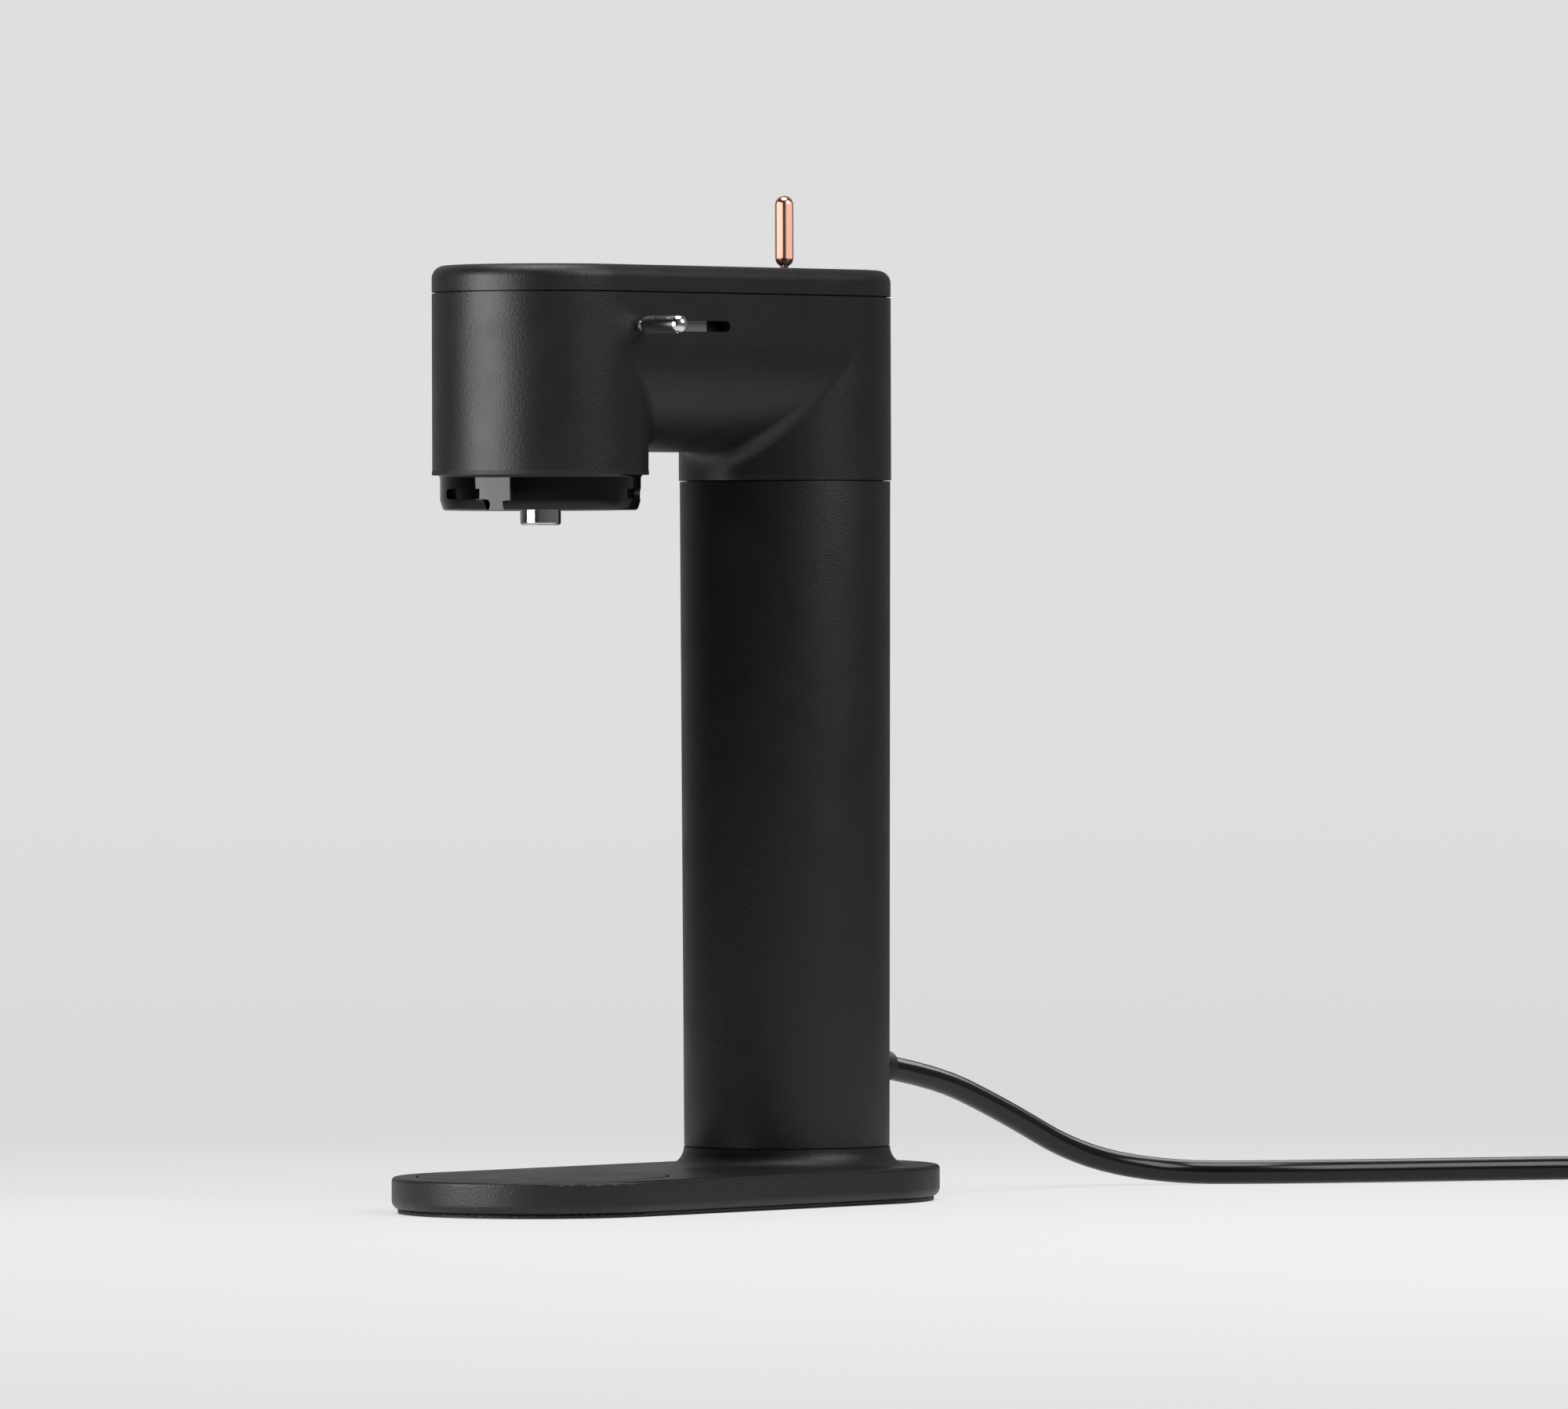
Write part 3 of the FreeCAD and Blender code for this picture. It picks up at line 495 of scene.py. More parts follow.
class Paint(Enum):
    """Every finish on the machine, named for the real material and how it is made."""

    # Fine-texture polyester powder over cast and extruded aluminium: wide soft highlights and a dry
    # sparkle. The real grain of about 0.2 mm is drawn 0.9 mm wide and deeper, so that it shows
    POWDER = Finish("powder_coated_aluminium", "#111112", 0.42, grain_mm=0.9, bump_mm=0.15,
                    roughness_swing=0.04, tint_swing=0.1)
    # Nylon moulded in a polished tool: deep sharp gloss that wavers a little, as orange peel does
    GLOSS = Finish("gloss_moulded_nylon", "#040405", 0.06, ior=1.42, grain_mm=6.0, bump_mm=0.02,
                   roughness_swing=0.02)
    # Moulded silicone mat: dry and fine-grained, a shade lighter than the coat round it
    MAT = Finish("moulded_silicone_mat", "#121213", 0.47, grain_mm=0.7, bump_mm=0.03)
    # Moulded rubber of foot, gaskets and cord boot: dull, with no clear highlight
    RUBBER = Finish("moulded_rubber", "#101011", 0.55, grain_mm=0.6, bump_mm=0.02)
    # Extruded PVC sheath of the cord: smooth, with one long bright line along its top
    SHEATH = Finish("extruded_pvc_sheath", "#0b0b0c", 0.19, grain_mm=3.0, bump_mm=0.02, roughness_swing=0.03)
    # Rose copper plating, polished on a wheel: warm mirror with faint lines across its length.
    # The lines of every turned metal are drawn 0.5 mm apart, wider than real, so that they show
    COPPER = TurnedFinish("polished_rose_copper", "#e9b09c", 0.14, metallic=1.0, bump_mm=0.004,
                          roughness_swing=0.03, tint_swing=0.03)
    # Bright chrome plating on a turned peg: a clear cold mirror
    CHROME = TurnedFinish("bright_chrome_plating", "#dfe0e3", 0.05, metallic=1.0, bump_mm=0.002,
                          roughness_swing=0.02, tint_swing=0.02, axis=(1.0, 0.0, 0.0))
    # Drawn and polished stainless tube: a soft mirror with a slight grey tone
    STAINLESS = TurnedFinish("polished_stainless_tube", "#c6c6c8", 0.14, metallic=1.0, bump_mm=0.004,
                             roughness_swing=0.04, tint_swing=0.03)
    # Zinc-plated steel: grey, half dull, a little cloudy
    STEEL = Finish("zinc_plated_steel", "#a9abad", 0.32, metallic=1.0, grain_mm=1.2, bump_mm=0.01)
    # Spun aluminium cylinder: satin, with rings round it
    ALUMINIUM = TurnedFinish("satin_spun_aluminium", "#c9cacc", 0.3, metallic=1.0, bump_mm=0.01,
                             roughness_swing=0.05, tint_swing=0.04)
    # Machined brass: yellow and satin, with cutter lines
    BRASS = TurnedFinish("machined_brass", "#c9a25a", 0.25, metallic=1.0, bump_mm=0.008,
                         roughness_swing=0.06, tint_swing=0.05)
    # Grey moulded ABS shutter behind the slot: plain and matte
    SHUTTER = Finish("grey_moulded_abs", "#85878b", 0.45, grain_mm=0.8, bump_mm=0.01)
    # Black moulded ABS of cover, plug and inner parts: matte, with the tool's fine spark grain
    ABS = Finish("black_moulded_abs", "#131314", 0.42, grain_mm=0.7, bump_mm=0.02)
    # White moulded polyamide: slightly warm and matte
    WHITE = Finish("white_moulded_polyamide", "#d8d7d0", 0.45, grain_mm=0.9, bump_mm=0.01)
    # Glass-fibre circuit board under green solder mask: half glossy, with the weave just showing
    BOARD = Finish("green_circuit_laminate", "#12512c", 0.35, grain_mm=1.5, bump_mm=0.02)
    # Extruded wire insulation: smooth brown plastic
    WIRE = Finish("brown_wire_insulation", "#4d2a18", 0.4, grain_mm=2.0, bump_mm=0.01)

    @cache
    def material(self) -> bpy.types.Material:
        """Make the finish's material on first use, and hand the same one out later."""
        return self.value.make()


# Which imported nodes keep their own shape, and the finish that each of them gets
CARRIED: dict[str, Paint] = {
    "ballast_plate": Paint.STEEL, "foot_ring": Paint.RUBBER,
    "joint_ring": Paint.POWDER, "cylinder_guides": Paint.ABS, "terminal_block": Paint.WHITE,
    "wires": Paint.WIRE, "lid_screws": Paint.STEEL, "carrier_plate": Paint.STEEL,
    "valve_block": Paint.BRASS, "gas_tube": Paint.STAINLESS, "nozzle_manifold": Paint.ABS,
    "relief_poppet": Paint.BRASS, "solenoid_body": Paint.STEEL,
    "solenoid_core": Paint.STEEL, "board_posts": Paint.WHITE, "control_board": Paint.BOARD,
    "slider_rail": Paint.ABS, "lever_pin": Paint.STEEL, "plunger": Paint.BRASS,
    "cylinder_valve": Paint.BRASS,
}


# Camera, floor and light --------------------------------------------------------------------------

@dataclass(frozen=True)
class SoftBox:
    """Soft box that stands at a bearing from the camera's side of the object and faces a point.

    The bearing is in degrees from the camera's direction, positive to the right of the view, and the
    lift in degrees above the level of the aim. Reach is the distance from the aim, size the width and
    height, and a radiance of 1 is as bright as white paper looks.
    """

    name: str
    bearing: float
    lift: float
    reach: float
    size: tuple[float, float]
    radiance: float
    aim: Point


@dataclass
class Studio:
    """Camera, pale floor, dim room for reflections, and soft boxes."""

    turn: float = 43.474
    tilt: float = 0.4577
    roll: float = -0.0029
    distance: float = 5.830
    side_step: float = -0.0007
    height: float = 0.2627
    lens: float = 307.04
    column: Point = (0.0, 0.076, 0.0)
    floor_reach: float = 2.4
    floor_ahead: float = 1.2
    # Distances from the floor's middle between which it fades into the backdrop
    fade: tuple[float, float] = (0.95, 2.15)
    # Glow of the floor as the camera sees it, and as it lights the object, near and far
    floor_glow: float = 0.63
    pool: tuple[float, float] = (0.35, 1.3)
    pool_glow: tuple[float, float] = (0.60, 0.10)
    floor_grey: str = "#8a8a8a"
    # Backdrop below and above the horizon, and the slopes between which one turns into the other
    backdrop: tuple[str, str] = ("#d9d9d9", "#dfdfdf")
    horizon: tuple[float, float] = (-0.040, -0.008)
    # Grey of the room by bearing from the camera's direction, in degrees
    room: tuple[tuple[float, float], ...] = (
        (-180, 0.46), (-150, 0.34), (-115, 0.13), (-90, 0.03), (-30, 0.015), (5, 0.11), (50, 0.16),
        (110, 0.18), (150, 0.20), (180, 0.22))
    strip: SoftBox = SoftBox("strip_left", -56, 0, 1.3, (1.05, 1.3), 6.6, (0, -0.076, 0.25))
    boxes: tuple[SoftBox, ...] = (
        SoftBox("box_right", 60, 36, 1.6, (1.05, 0.9), 4.0, (0, 0.0, 0.25)),
        SoftBox("box_top", 0, 88, 1.7, (1.2, 1.2), 4.3, (0, 0.0, 0.2)))
    cord_card: SoftBox = SoftBox("card_cord", 178, 50, 1.0, (1.6, 0.6), 3.0, (0.07, 0.25, 0.02))
    lever_cards: tuple[SoftBox, ...] = (
        SoftBox("card_left", -64, 0, 1.0, (2.0, 1.3), 1.7, (0, 0.076, 0.42)),
        SoftBox("card_right", 70, 0, 1.0, (2.3, 1.3), 0.95, (0, 0.076, 0.42)))

    def axes(self) -> tuple[Vector, Vector]:
        """Level unit vectors to the right of the view, and from the object back to the camera."""
        a = math.radians(self.turn)
        return Vector((math.cos(a), math.sin(a), 0)), Vector((math.sin(a), -math.cos(a), 0))

    def make_camera(self) -> None:
        """Long-lens camera at the product's height, looking almost level."""
        right, back = self.axes()
        tilt = math.radians(self.tilt)
        forward = -back * math.cos(tilt) - UP * math.sin(tilt)
        above = right.cross(forward)
        x = right * math.cos(self.roll) + above * math.sin(self.roll)
        y = above * math.cos(self.roll) - right * math.sin(self.roll)
        place = Vector(self.column) + back * self.distance + right * self.side_step + UP * self.height
        data = bpy.data.cameras.new("camera")
        data.lens = self.lens
        data.sensor_width = 36.0
        data.clip_end = 60.0
        camera = link_object(bpy.data.objects.new("camera", data))
        turn = Matrix((x, y, -forward)).transposed()
        camera.matrix_world = Matrix.Translation(place) @ turn.to_4x4()
        bpy.context.scene.camera = camera

    def make_floor(self) -> None:
        """Pale floor disc that fades into the backdrop behind the object."""
        back = self.axes()[1]
        centre = Vector(self.column) + back * self.floor_ahead
        bm = bmesh.new()
        bmesh.ops.create_circle(bm, cap_ends=True, segments=96, radius=self.floor_reach)
        bmesh.ops.translate(bm, verts=bm.verts, vec=centre)
        floor = mesh_object(bm, "floor")
        material = bpy.data.materials.new("studio_floor")
        material.use_nodes = True
        tree = material.node_tree
        tree.nodes.clear()
        place = add_node(tree, "ShaderNodeTexCoord").outputs["Object"]
        reach = add_node(tree, "ShaderNodeVectorMath", {0: place, 1: centre}, operation="DISTANCE")
        fade = add_node(tree, "ShaderNodeMapRange", {
            "Value": reach.outputs["Value"], "From Min": self.fade[0], "From Max": self.fade[1],
            "To Min": 0.0, "To Max": 1.0}, interpolation_type="SMOOTHSTEP")
        paper = add_node(tree, "ShaderNodeBsdfDiffuse", {"Color": linear(self.floor_grey)})
        near = add_node(tree, "ShaderNodeVectorMath", {0: place, 1: (0.0, 0.0, 0.0)}, operation="DISTANCE")
        pool = add_node(tree, "ShaderNodeMapRange", {
            "Value": near.outputs["Value"], "From Min": self.pool[0], "From Max": self.pool[1],
            "To Min": self.pool_glow[0], "To Max": self.pool_glow[1]}, interpolation_type="SMOOTHSTEP")
        seen = add_node(tree, "ShaderNodeLightPath").outputs["Is Camera Ray"]
        strength = add_node(tree, "ShaderNodeMix", {0: seen, 2: pool, 3: self.floor_glow},
                            data_type="FLOAT")
        glow = add_node(tree, "ShaderNodeEmission", {
            "Color": linear("#ffffff"), "Strength": strength})
        lit = add_node(tree, "ShaderNodeAddShader", {0: paper, 1: glow})
        clear = add_node(tree, "ShaderNodeBsdfTransparent")
        mix = add_node(tree, "ShaderNodeMixShader", {
            0: fade, 1: lit, 2: clear})
        add_node(tree, "ShaderNodeOutputMaterial", {"Surface": mix})
        floor.data.materials.append(material)

    def make_surroundings(self) -> None:
        """Even pale backdrop for the camera, and a dim room for reflections."""
        world = bpy.data.worlds.new("studio")
        bpy.context.scene.world = world
        world.use_nodes = True
        tree = world.node_tree
        tree.nodes.clear()
        right, back = self.axes()
        way = add_node(tree, "ShaderNodeTexCoord").outputs["Generated"]
        across = add_node(tree, "ShaderNodeVectorMath", {0: way, 1: right}, operation="DOT_PRODUCT")
        toward = add_node(tree, "ShaderNodeVectorMath", {0: way, 1: back}, operation="DOT_PRODUCT")
        angle = add_node(tree, "ShaderNodeMath", {0: across.outputs["Value"], 1: toward.outputs["Value"]},
                         operation="ARCTAN2")
        share = add_node(tree, "ShaderNodeMapRange", {
            "Value": angle, "From Min": -math.pi, "From Max": math.pi})
        room = add_node(tree, "ShaderNodeValToRGB", {"Fac": share})
        set_ramp(room, [((bearing + 180) / 360, (grey, grey, grey, 1.0)) for bearing, grey in self.room])
        height = add_node(tree, "ShaderNodeSeparateXYZ", {0: way})
        lit = add_node(tree, "ShaderNodeBackground", {"Color": room, "Strength": 1.0})
        low = add_node(tree, "ShaderNodeMapRange", {
            "Value": height.outputs["Z"], "From Min": self.horizon[0], "From Max": self.horizon[1]})
        wall = add_node(tree, "ShaderNodeMix", {
            0: low, 6: linear(self.backdrop[0]), 7: linear(self.backdrop[1])}, data_type="RGBA")
        pale = add_node(tree, "ShaderNodeBackground", {"Color": wall.outputs[2], "Strength": 1.0})
        seen = add_node(tree, "ShaderNodeLightPath").outputs["Is Camera Ray"]
        mix = add_node(tree, "ShaderNodeMixShader", {0: seen, 1: lit, 2: pale})
        add_node(tree, "ShaderNodeOutputWorld", {"Surface": mix})

    def make_light(self, box: SoftBox) -> bpy.types.Object:
        """Set up one soft box.

        Args:
            box: where it stands, its size and its brightness.

        Returns:
            The light's object.
        """
        right, back = self.axes()
        bearing = math.radians(box.bearing)
        lift = math.radians(box.lift)
        level = right * math.sin(bearing) + back * math.cos(bearing)
        target = Vector(box.aim)
        place = target + (level * math.cos(lift) + UP * math.sin(lift)) * box.reach
        data = bpy.data.lights.new(box.name, "AREA")
        data.shape = "RECTANGLE"
        data.size, data.size_y = box.size
        data.energy = box.radiance * math.pi * box.size[0] * box.size[1]
        light = link_object(bpy.data.objects.new(box.name, data))
        facing = (place - target).to_track_quat("Z", "Y").to_matrix().to_4x4()
        light.matrix_world = Matrix.Translation(place) @ facing
        return light

    def light_only(self, box: SoftBox, pieces: Iterable[bpy.types.Object]) -> None:
        """Set up a soft box that reaches only some pieces, as flags in front of it would have it.

        Args:
            box: the soft box.
            pieces: pieces that it lights.
        """
        lit = bpy.data.collections.new(f"lit_by_{box.name}")
        for piece in pieces:
            lit.objects.link(piece)
        self.make_light(box).light_linking.receiver_collection = lit

    def build(self) -> None:
        """Make everything that isn't part of the machine, apart from the lights for single pieces."""
        self.make_camera()
        self.make_floor()
        self.make_surroundings()
        for box in self.boxes:
            self.make_light(box)
        bpy.context.scene.view_settings.view_transform = "Standard"

    def light_pieces(self, lead: Sequence[bpy.types.Object], lit: Sequence[bpy.types.Object],
                     lever: bpy.types.Object) -> None:
        """Light the pieces that need a light of their own.

        Args:
            lead: cord and boot, which get a card behind them that draws a line along their tops.
            lit: pieces that the left strip reaches; the column stays dark beside them.
            lever: lever, which gets two cards that draw its bands and leave its edges dark.
        """
        self.light_only(self.cord_card, lead)
        self.light_only(self.strip, lit)
        for card in self.lever_cards:
            self.light_only(card, [lever])


# Cord ---------------------------------------------------------------------------------------------

@dataclass
class MainsLead:
    """Round mains cord: along the floor, wound into a coil, and on to its plug."""

    diameter: float = 0.0106
    route: tuple[Point, ...] = (
        (0.0, 0.109, 0.0605), (0.0, 0.164, 0.054), (0.001, 0.214, 0.0355), (0.005, 0.2585, 0.014),
        (0.020, 0.300, 0.0053), (0.055, 0.330, 0.0053), (0.084, 0.375, 0.0053), (0.112, 0.424, 0.0053),
        (0.142, 0.470, 0.0053), (0.176, 0.512, 0.0053),
    )
    exit_point: Point = (0.0, 0.1210, 0.0591)
    coil_radius: float = 0.055
    turns: float = 3.25
    steps_per_turn: int = 24
    plug_tail: float = 0.042
    plug_height: float = 0.008
    length: float = 1.65
    boot_length: float = 0.030
    boot_inside: float = 0.009
    boot_root: float = 0.0088
    boot_wall: float = 0.0011
    boot_ribs: int = 7
    groove_depth: float = 0.0010
    pin_length: float = 0.0193
    pin_start: float = 0.037
    pin_spacing: float = 0.019
    pin_radius: float = 0.0024
    pin_tip: float = 0.0006
    plug_sides: int = 48
    # Sections of the plug in mm: distance from its nose, width and height
    plug_sections: tuple[Point, ...] = (
        (0.0, 12.0, 12.0), (0.6, 13.0, 13.0), (4.0, 13.2, 13.2), (4.6, 11.6, 11.6), (6.0, 11.6, 11.6),
        (6.6, 13.6, 13.4), (8.6, 13.8, 13.4), (9.2, 12.0, 11.8), (10.6, 12.2, 11.8), (11.2, 14.4, 13.6),
        (15.0, 16.6, 14.0), (18.0, 21.5, 14.8), (22.0, 26.5, 15.4), (28.0, 30.5, 15.8), (34.0, 33.6, 15.9),
        (36.8, 34.6, 15.9), (37.6, 34.2, 15.5), (38.0, 33.2, 14.6))

    def arrival(self) -> tuple[Vector, Vector]:
        """Unit vectors along the last stretch on the floor, and to its right."""
        way = (Vector(self.route[-1]) - Vector(self.route[-2])).normalized()
        return way, Vector((way.y, -way.x, 0))

    def coil_points(self) -> list[Vector]:
        """Points of the wound turns: outside, inside, up a layer and outside again.

        Returns:
            The points in order, all of them on the coil's centreline.
        """
        way, side = self.arrival()
        low = self.diameter / 2
        outer = self.coil_radius + low
        centre = Vector(self.route[-1]) - side * outer + way * low
        points = []
        for step in range(round(self.turns * self.steps_per_turn) + 1):
            turn = step / self.steps_per_turn
            inward = self.ease(turn, 0.75, 1.0) - self.ease(turn, 2.25, 2.5)
            radius = outer - self.diameter * inward
            angle = turn * math.tau
            spot = centre + side * radius * math.cos(angle) + way * radius * math.sin(angle)
            spot.z = low + self.diameter * self.ease(turn, 1.5, 1.75)
            points.append(spot)
        return points

    @staticmethod
    def ease(value: float, start: float, end: float) -> float:
        """Smooth step.

        Args:
            value: where on the way.
            start: where the step leaves 0.
            end: where it reaches 1.

        Returns:
            The step's height, from 0 to 1.
        """
        t = min(1.0, max(0.0, (value - start) / (end - start)))
        return t * t * (3 - 2 * t)

    def tail_points(self, last: Vector) -> list[Vector]:
        """Points from the coil's last turn down to the plug's nose.

        Args:
            last: the coil's last point.

        Returns:
            Three points, the last one inside the plug's nose.
        """
        out = -self.arrival()[1]
        down = self.plug_height - last.z
        return [last + out * self.plug_tail * share + Vector((0, 0, down * fall))
                for share, fall in ((0.38, 0.03), (0.74, 0.36), (1.0, 1.0))]

    def make_cord(self) -> tuple[bpy.types.Object, Vector]:
        """Lay the cord as one smooth curve.

        Returns:
            The cord, and the point where it ends.
        """
        points = [Vector(p) for p in self.route] + self.coil_points()
        points += self.tail_points(points[-1])
        data = bpy.data.curves.new("mains_lead", "CURVE")
        data.dimensions = "3D"
        spline = data.splines.new("NURBS")
        spline.points.add(len(points) - 1)
        for target, spot in zip(spline.points, points):
            target.co = (spot.x, spot.y, spot.z, 1.0)
        spline.order_u = 3
        spline.use_endpoint_u = True
        spline.resolution_u = 6
        data.bevel_depth = self.diameter / 2
        data.bevel_resolution = 6
        data.use_fill_caps = True
        lead = link_object(bpy.data.objects.new("mains_lead", data))
        finish_piece(lead, Paint.SHEATH, "chassis", ["mains_cord", "cord_coil"])
        return lead, points[-1]

    def make_boot(self) -> bpy.types.Object:
        """Make the tapered rubber boot, with grooves round it.

        Returns:
            The boot.
        """
        start = Vector(self.exit_point)
        way = (Vector(self.route[1]) - Vector(self.route[0])).normalized()
        tree = PieceTree("cord_boot")
        length = tree.size("Length", self.boot_length)
        root = tree.size("Root radius", self.boot_root)
        tip = tree.size("Tip radius", self.diameter / 2 + self.boot_wall)
        depth = tree.size("Groove depth", self.groove_depth)
        ribs = tree.size("Ribs", float(self.boot_ribs))
        line = tree.add("GeometryNodeCurvePrimitiveLine", {
            "Start": start - way * self.boot_inside, "Direction": way, "Length": length}, mode="DIRECTION")
        fine = tree.add("GeometryNodeResampleCurve", {"Curve": line, "Count": 160})
        share = tree.add("GeometryNodeSplineParameter").outputs["Factor"]
        taper = tree.add("ShaderNodeMapRange", {
            "Value": share, "From Min": 0.3, "From Max": 1.0, "To Min": root, "To Max": tip})
        count = tree.add("ShaderNodeMath", {0: share, 1: ribs}, operation="MULTIPLY")
        wave = tree.add("ShaderNodeMath", {0: count, 1: 1.0}, operation="PINGPONG")
        notch = tree.add("ShaderNodeMapRange", {
            "Value": wave, "From Min": 0.62, "From Max": 0.8, "To Min": 0.0, "To Max": depth},
            interpolation_type="SMOOTHSTEP")
        ribbed = tree.add("ShaderNodeMath", {0: share, 1: 0.42}, operation="GREATER_THAN")
        cut = tree.add("ShaderNodeMath", {0: notch, 1: ribbed}, operation="MULTIPLY")
        radius = tree.add("ShaderNodeMath", {0: taper, 1: cut}, operation="SUBTRACT")
        end = tree.add("ShaderNodeMapRange", {
            "Value": share, "From Min": 0.985, "From Max": 1.0, "To Min": 1.0, "To Max": 0.9})
        rounded = tree.add("ShaderNodeMath", {0: radius, 1: end}, operation="MULTIPLY")
        ring = tree.add("GeometryNodeCurvePrimitiveCircle", {"Resolution": 40, "Radius": 1.0})
        tube = tree.add("GeometryNodeCurveToMesh", {
            "Curve": fine, "Profile Curve": ring, "Scale": rounded,
            "Fill Caps": True})
        boot = tree.make(tube, Paint.RUBBER, 50)
        return finish_piece(boot, Paint.RUBBER, "chassis", ["strain_relief"])

    def make_plug(self, nose: Vector) -> bpy.types.Object:
        """Make the moulded two-pin plug: a ribbed neck that widens into a rounded flat body.

        Args:
            nose: point where the cord goes in.

        Returns:
            The plug.
        """
        out = -self.arrival()[1]
        across = Vector((out.y, -out.x, 0))
        bm = bmesh.new()
        rings = []
        for along, width, height in self.plug_sections:
            # The neck is round, and the body's section turns squarish over 16 mm
            power = 2.0 + 2.2 * min(1.0, max(0.0, (along - 9.0) / 16.0))
            ring = []
            for step in range(self.plug_sides):
                a = math.tau * step / self.plug_sides
                c, s = math.cos(a), math.sin(a)
                u = math.copysign(abs(c) ** (2 / power), c) * width / 2
                v = math.copysign(abs(s) ** (2 / power), s) * height / 2
                ring.append(bm.verts.new(nose + out * along * MM + across * u * MM + UP * v * MM))
            rings.append(ring)
        for low, high in zip(rings, rings[1:]):
            stitch(bm, low, high)
        bm.faces.new(rings[0][::-1])
        bm.faces.new(rings[-1])
        bmesh.ops.recalc_face_normals(bm, faces=bm.faces)
        plug = mesh_object(bm, "mains_plug")
        smooth_by_angle(plug.data, 40)
        return finish_piece(plug, Paint.ABS, "chassis", ["cord_plug"])

    def make_pins(self, nose: Vector) -> bpy.types.Object:
        """Make the plug's two round plated pins, with rounded ends.

        Args:
            nose: point where the cord goes into the plug.

        Returns:
            Both pins as one piece.
        """
        out = -self.arrival()[1]
        across = Vector((out.y, -out.x, 0))
        tree = PieceTree("plug_pins")
        length = tree.size("Pin length", self.pin_length)
        thick = tree.size("Pin radius", self.pin_radius)
        thin = tree.size("Tip radius", self.pin_tip)
        step = across * self.pin_spacing
        spots = tree.add("GeometryNodeMeshLine", {
            "Count": 2, "Start Location": nose + out * self.pin_start - step / 2, "Offset": step},
            mode="OFFSET", count_mode="TOTAL")
        line = tree.add("GeometryNodeCurvePrimitiveLine", {
            "Start": (0, 0, 0), "Direction": out, "Length": length}, mode="DIRECTION")
        fine = tree.add("GeometryNodeResampleCurve", {"Curve": line, "Count": 40})
        share = tree.add("GeometryNodeSplineParameter").outputs["Factor"]
        near = tree.add("ShaderNodeMapRange", {"Value": share, "From Min": 0.88, "From Max": 1.0})
        bent = tree.add("ShaderNodeMath", {0: near, 1: 2.2}, operation="POWER")
        radius = tree.add("ShaderNodeMapRange", {"Value": bent, "To Min": thick, "To Max": thin})
        ring = tree.add("GeometryNodeCurvePrimitiveCircle", {"Resolution": 24, "Radius": 1.0})
        pin = tree.add("GeometryNodeCurveToMesh", {
            "Curve": fine, "Profile Curve": ring, "Scale": radius,
            "Fill Caps": True})
        both = tree.add("GeometryNodeInstanceOnPoints", {"Points": spots, "Instance": pin})
        pins = tree.make(both, Paint.STEEL, 50)
        return finish_piece(pins, Paint.STEEL, "chassis")

    def build(self) -> list[bpy.types.Object]:
        """Returns:
            The cord and its boot.
        """
        lead, nose = self.make_cord()
        boot = self.make_boot()
        plug = self.make_plug(nose)
        pins = self.make_pins(nose)
        return [lead, boot]


# Machine ------------------------------------------------------------------------------------------

@dataclass
class Column:
    """Tapered tube over the gas cylinder."""

    axis_y: float = 0.076
    foot_radius: float = 0.0448
    top_radius: float = 0.0459
    foot_z: float = 0.0241
    top_z: float = 0.3133
    wall: float = 0.003
    rim: float = 0.00035

    def build(self) -> bpy.types.Object:
        """Sweep a wall with rounded rims round the column's axis and taper it.

        Returns:
            The tube.
        """
        tree = PieceTree("column_tube")
        wall = tree.size("Wall", self.wall)
        tall = tree.size("Height", self.top_z - self.foot_z)
        rim = tree.size("Rim radius", self.rim)
        top = tree.size("Top radius", self.top_radius)
        foot = tree.size("Foot radius", self.foot_radius)
        middle = tree.add("ShaderNodeMath", {0: wall, 1: -0.5, 2: top}, operation="MULTIPLY_ADD")
        path = tree.add("GeometryNodeCurvePrimitiveCircle", {"Resolution": 160, "Radius": middle})
        section = tree.add("GeometryNodeCurvePrimitiveQuadrilateral", {"Width": wall, "Height": tall})
        eased = tree.add("GeometryNodeFilletCurve", {
            "Curve": section, "Radius": rim, "Count": 5}, mode="POLY")
        tube = tree.add("GeometryNodeCurveToMesh", {"Curve": path, "Profile Curve": eased})
        spot = tree.add("GeometryNodeInputPosition")
        parts = tree.add("ShaderNodeSeparateXYZ", {0: spot})
        half = (self.top_z - self.foot_z) / 2
        inset = tree.add("ShaderNodeMath", {0: top, 1: foot}, operation="SUBTRACT")
        pull = tree.add("ShaderNodeMapRange", {
            "Value": parts.outputs["Z"], "From Min": -half, "From Max": half, "To Min": inset, "To Max": 0.0})
        flat = tree.add("ShaderNodeVectorMath", {0: spot, 1: (1.0, 1.0, 0.0)}, operation="MULTIPLY")
        outward = tree.add("ShaderNodeVectorMath", {0: flat}, operation="NORMALIZE")
        shift = tree.add("ShaderNodeVectorMath", {0: outward, "Scale": pull},
                         operation="SCALE")
        lifted = tree.add("ShaderNodeVectorMath", {
            0: (0.0, self.axis_y, (self.top_z + self.foot_z) / 2), 1: shift}, operation="SUBTRACT")
        placed = tree.add("GeometryNodeSetPosition", {"Geometry": tube, "Offset": lifted})
        column = tree.make(placed, Paint.POWDER, 40)
        return finish_piece(column, Paint.POWDER, "chassis", ["column_shell"])


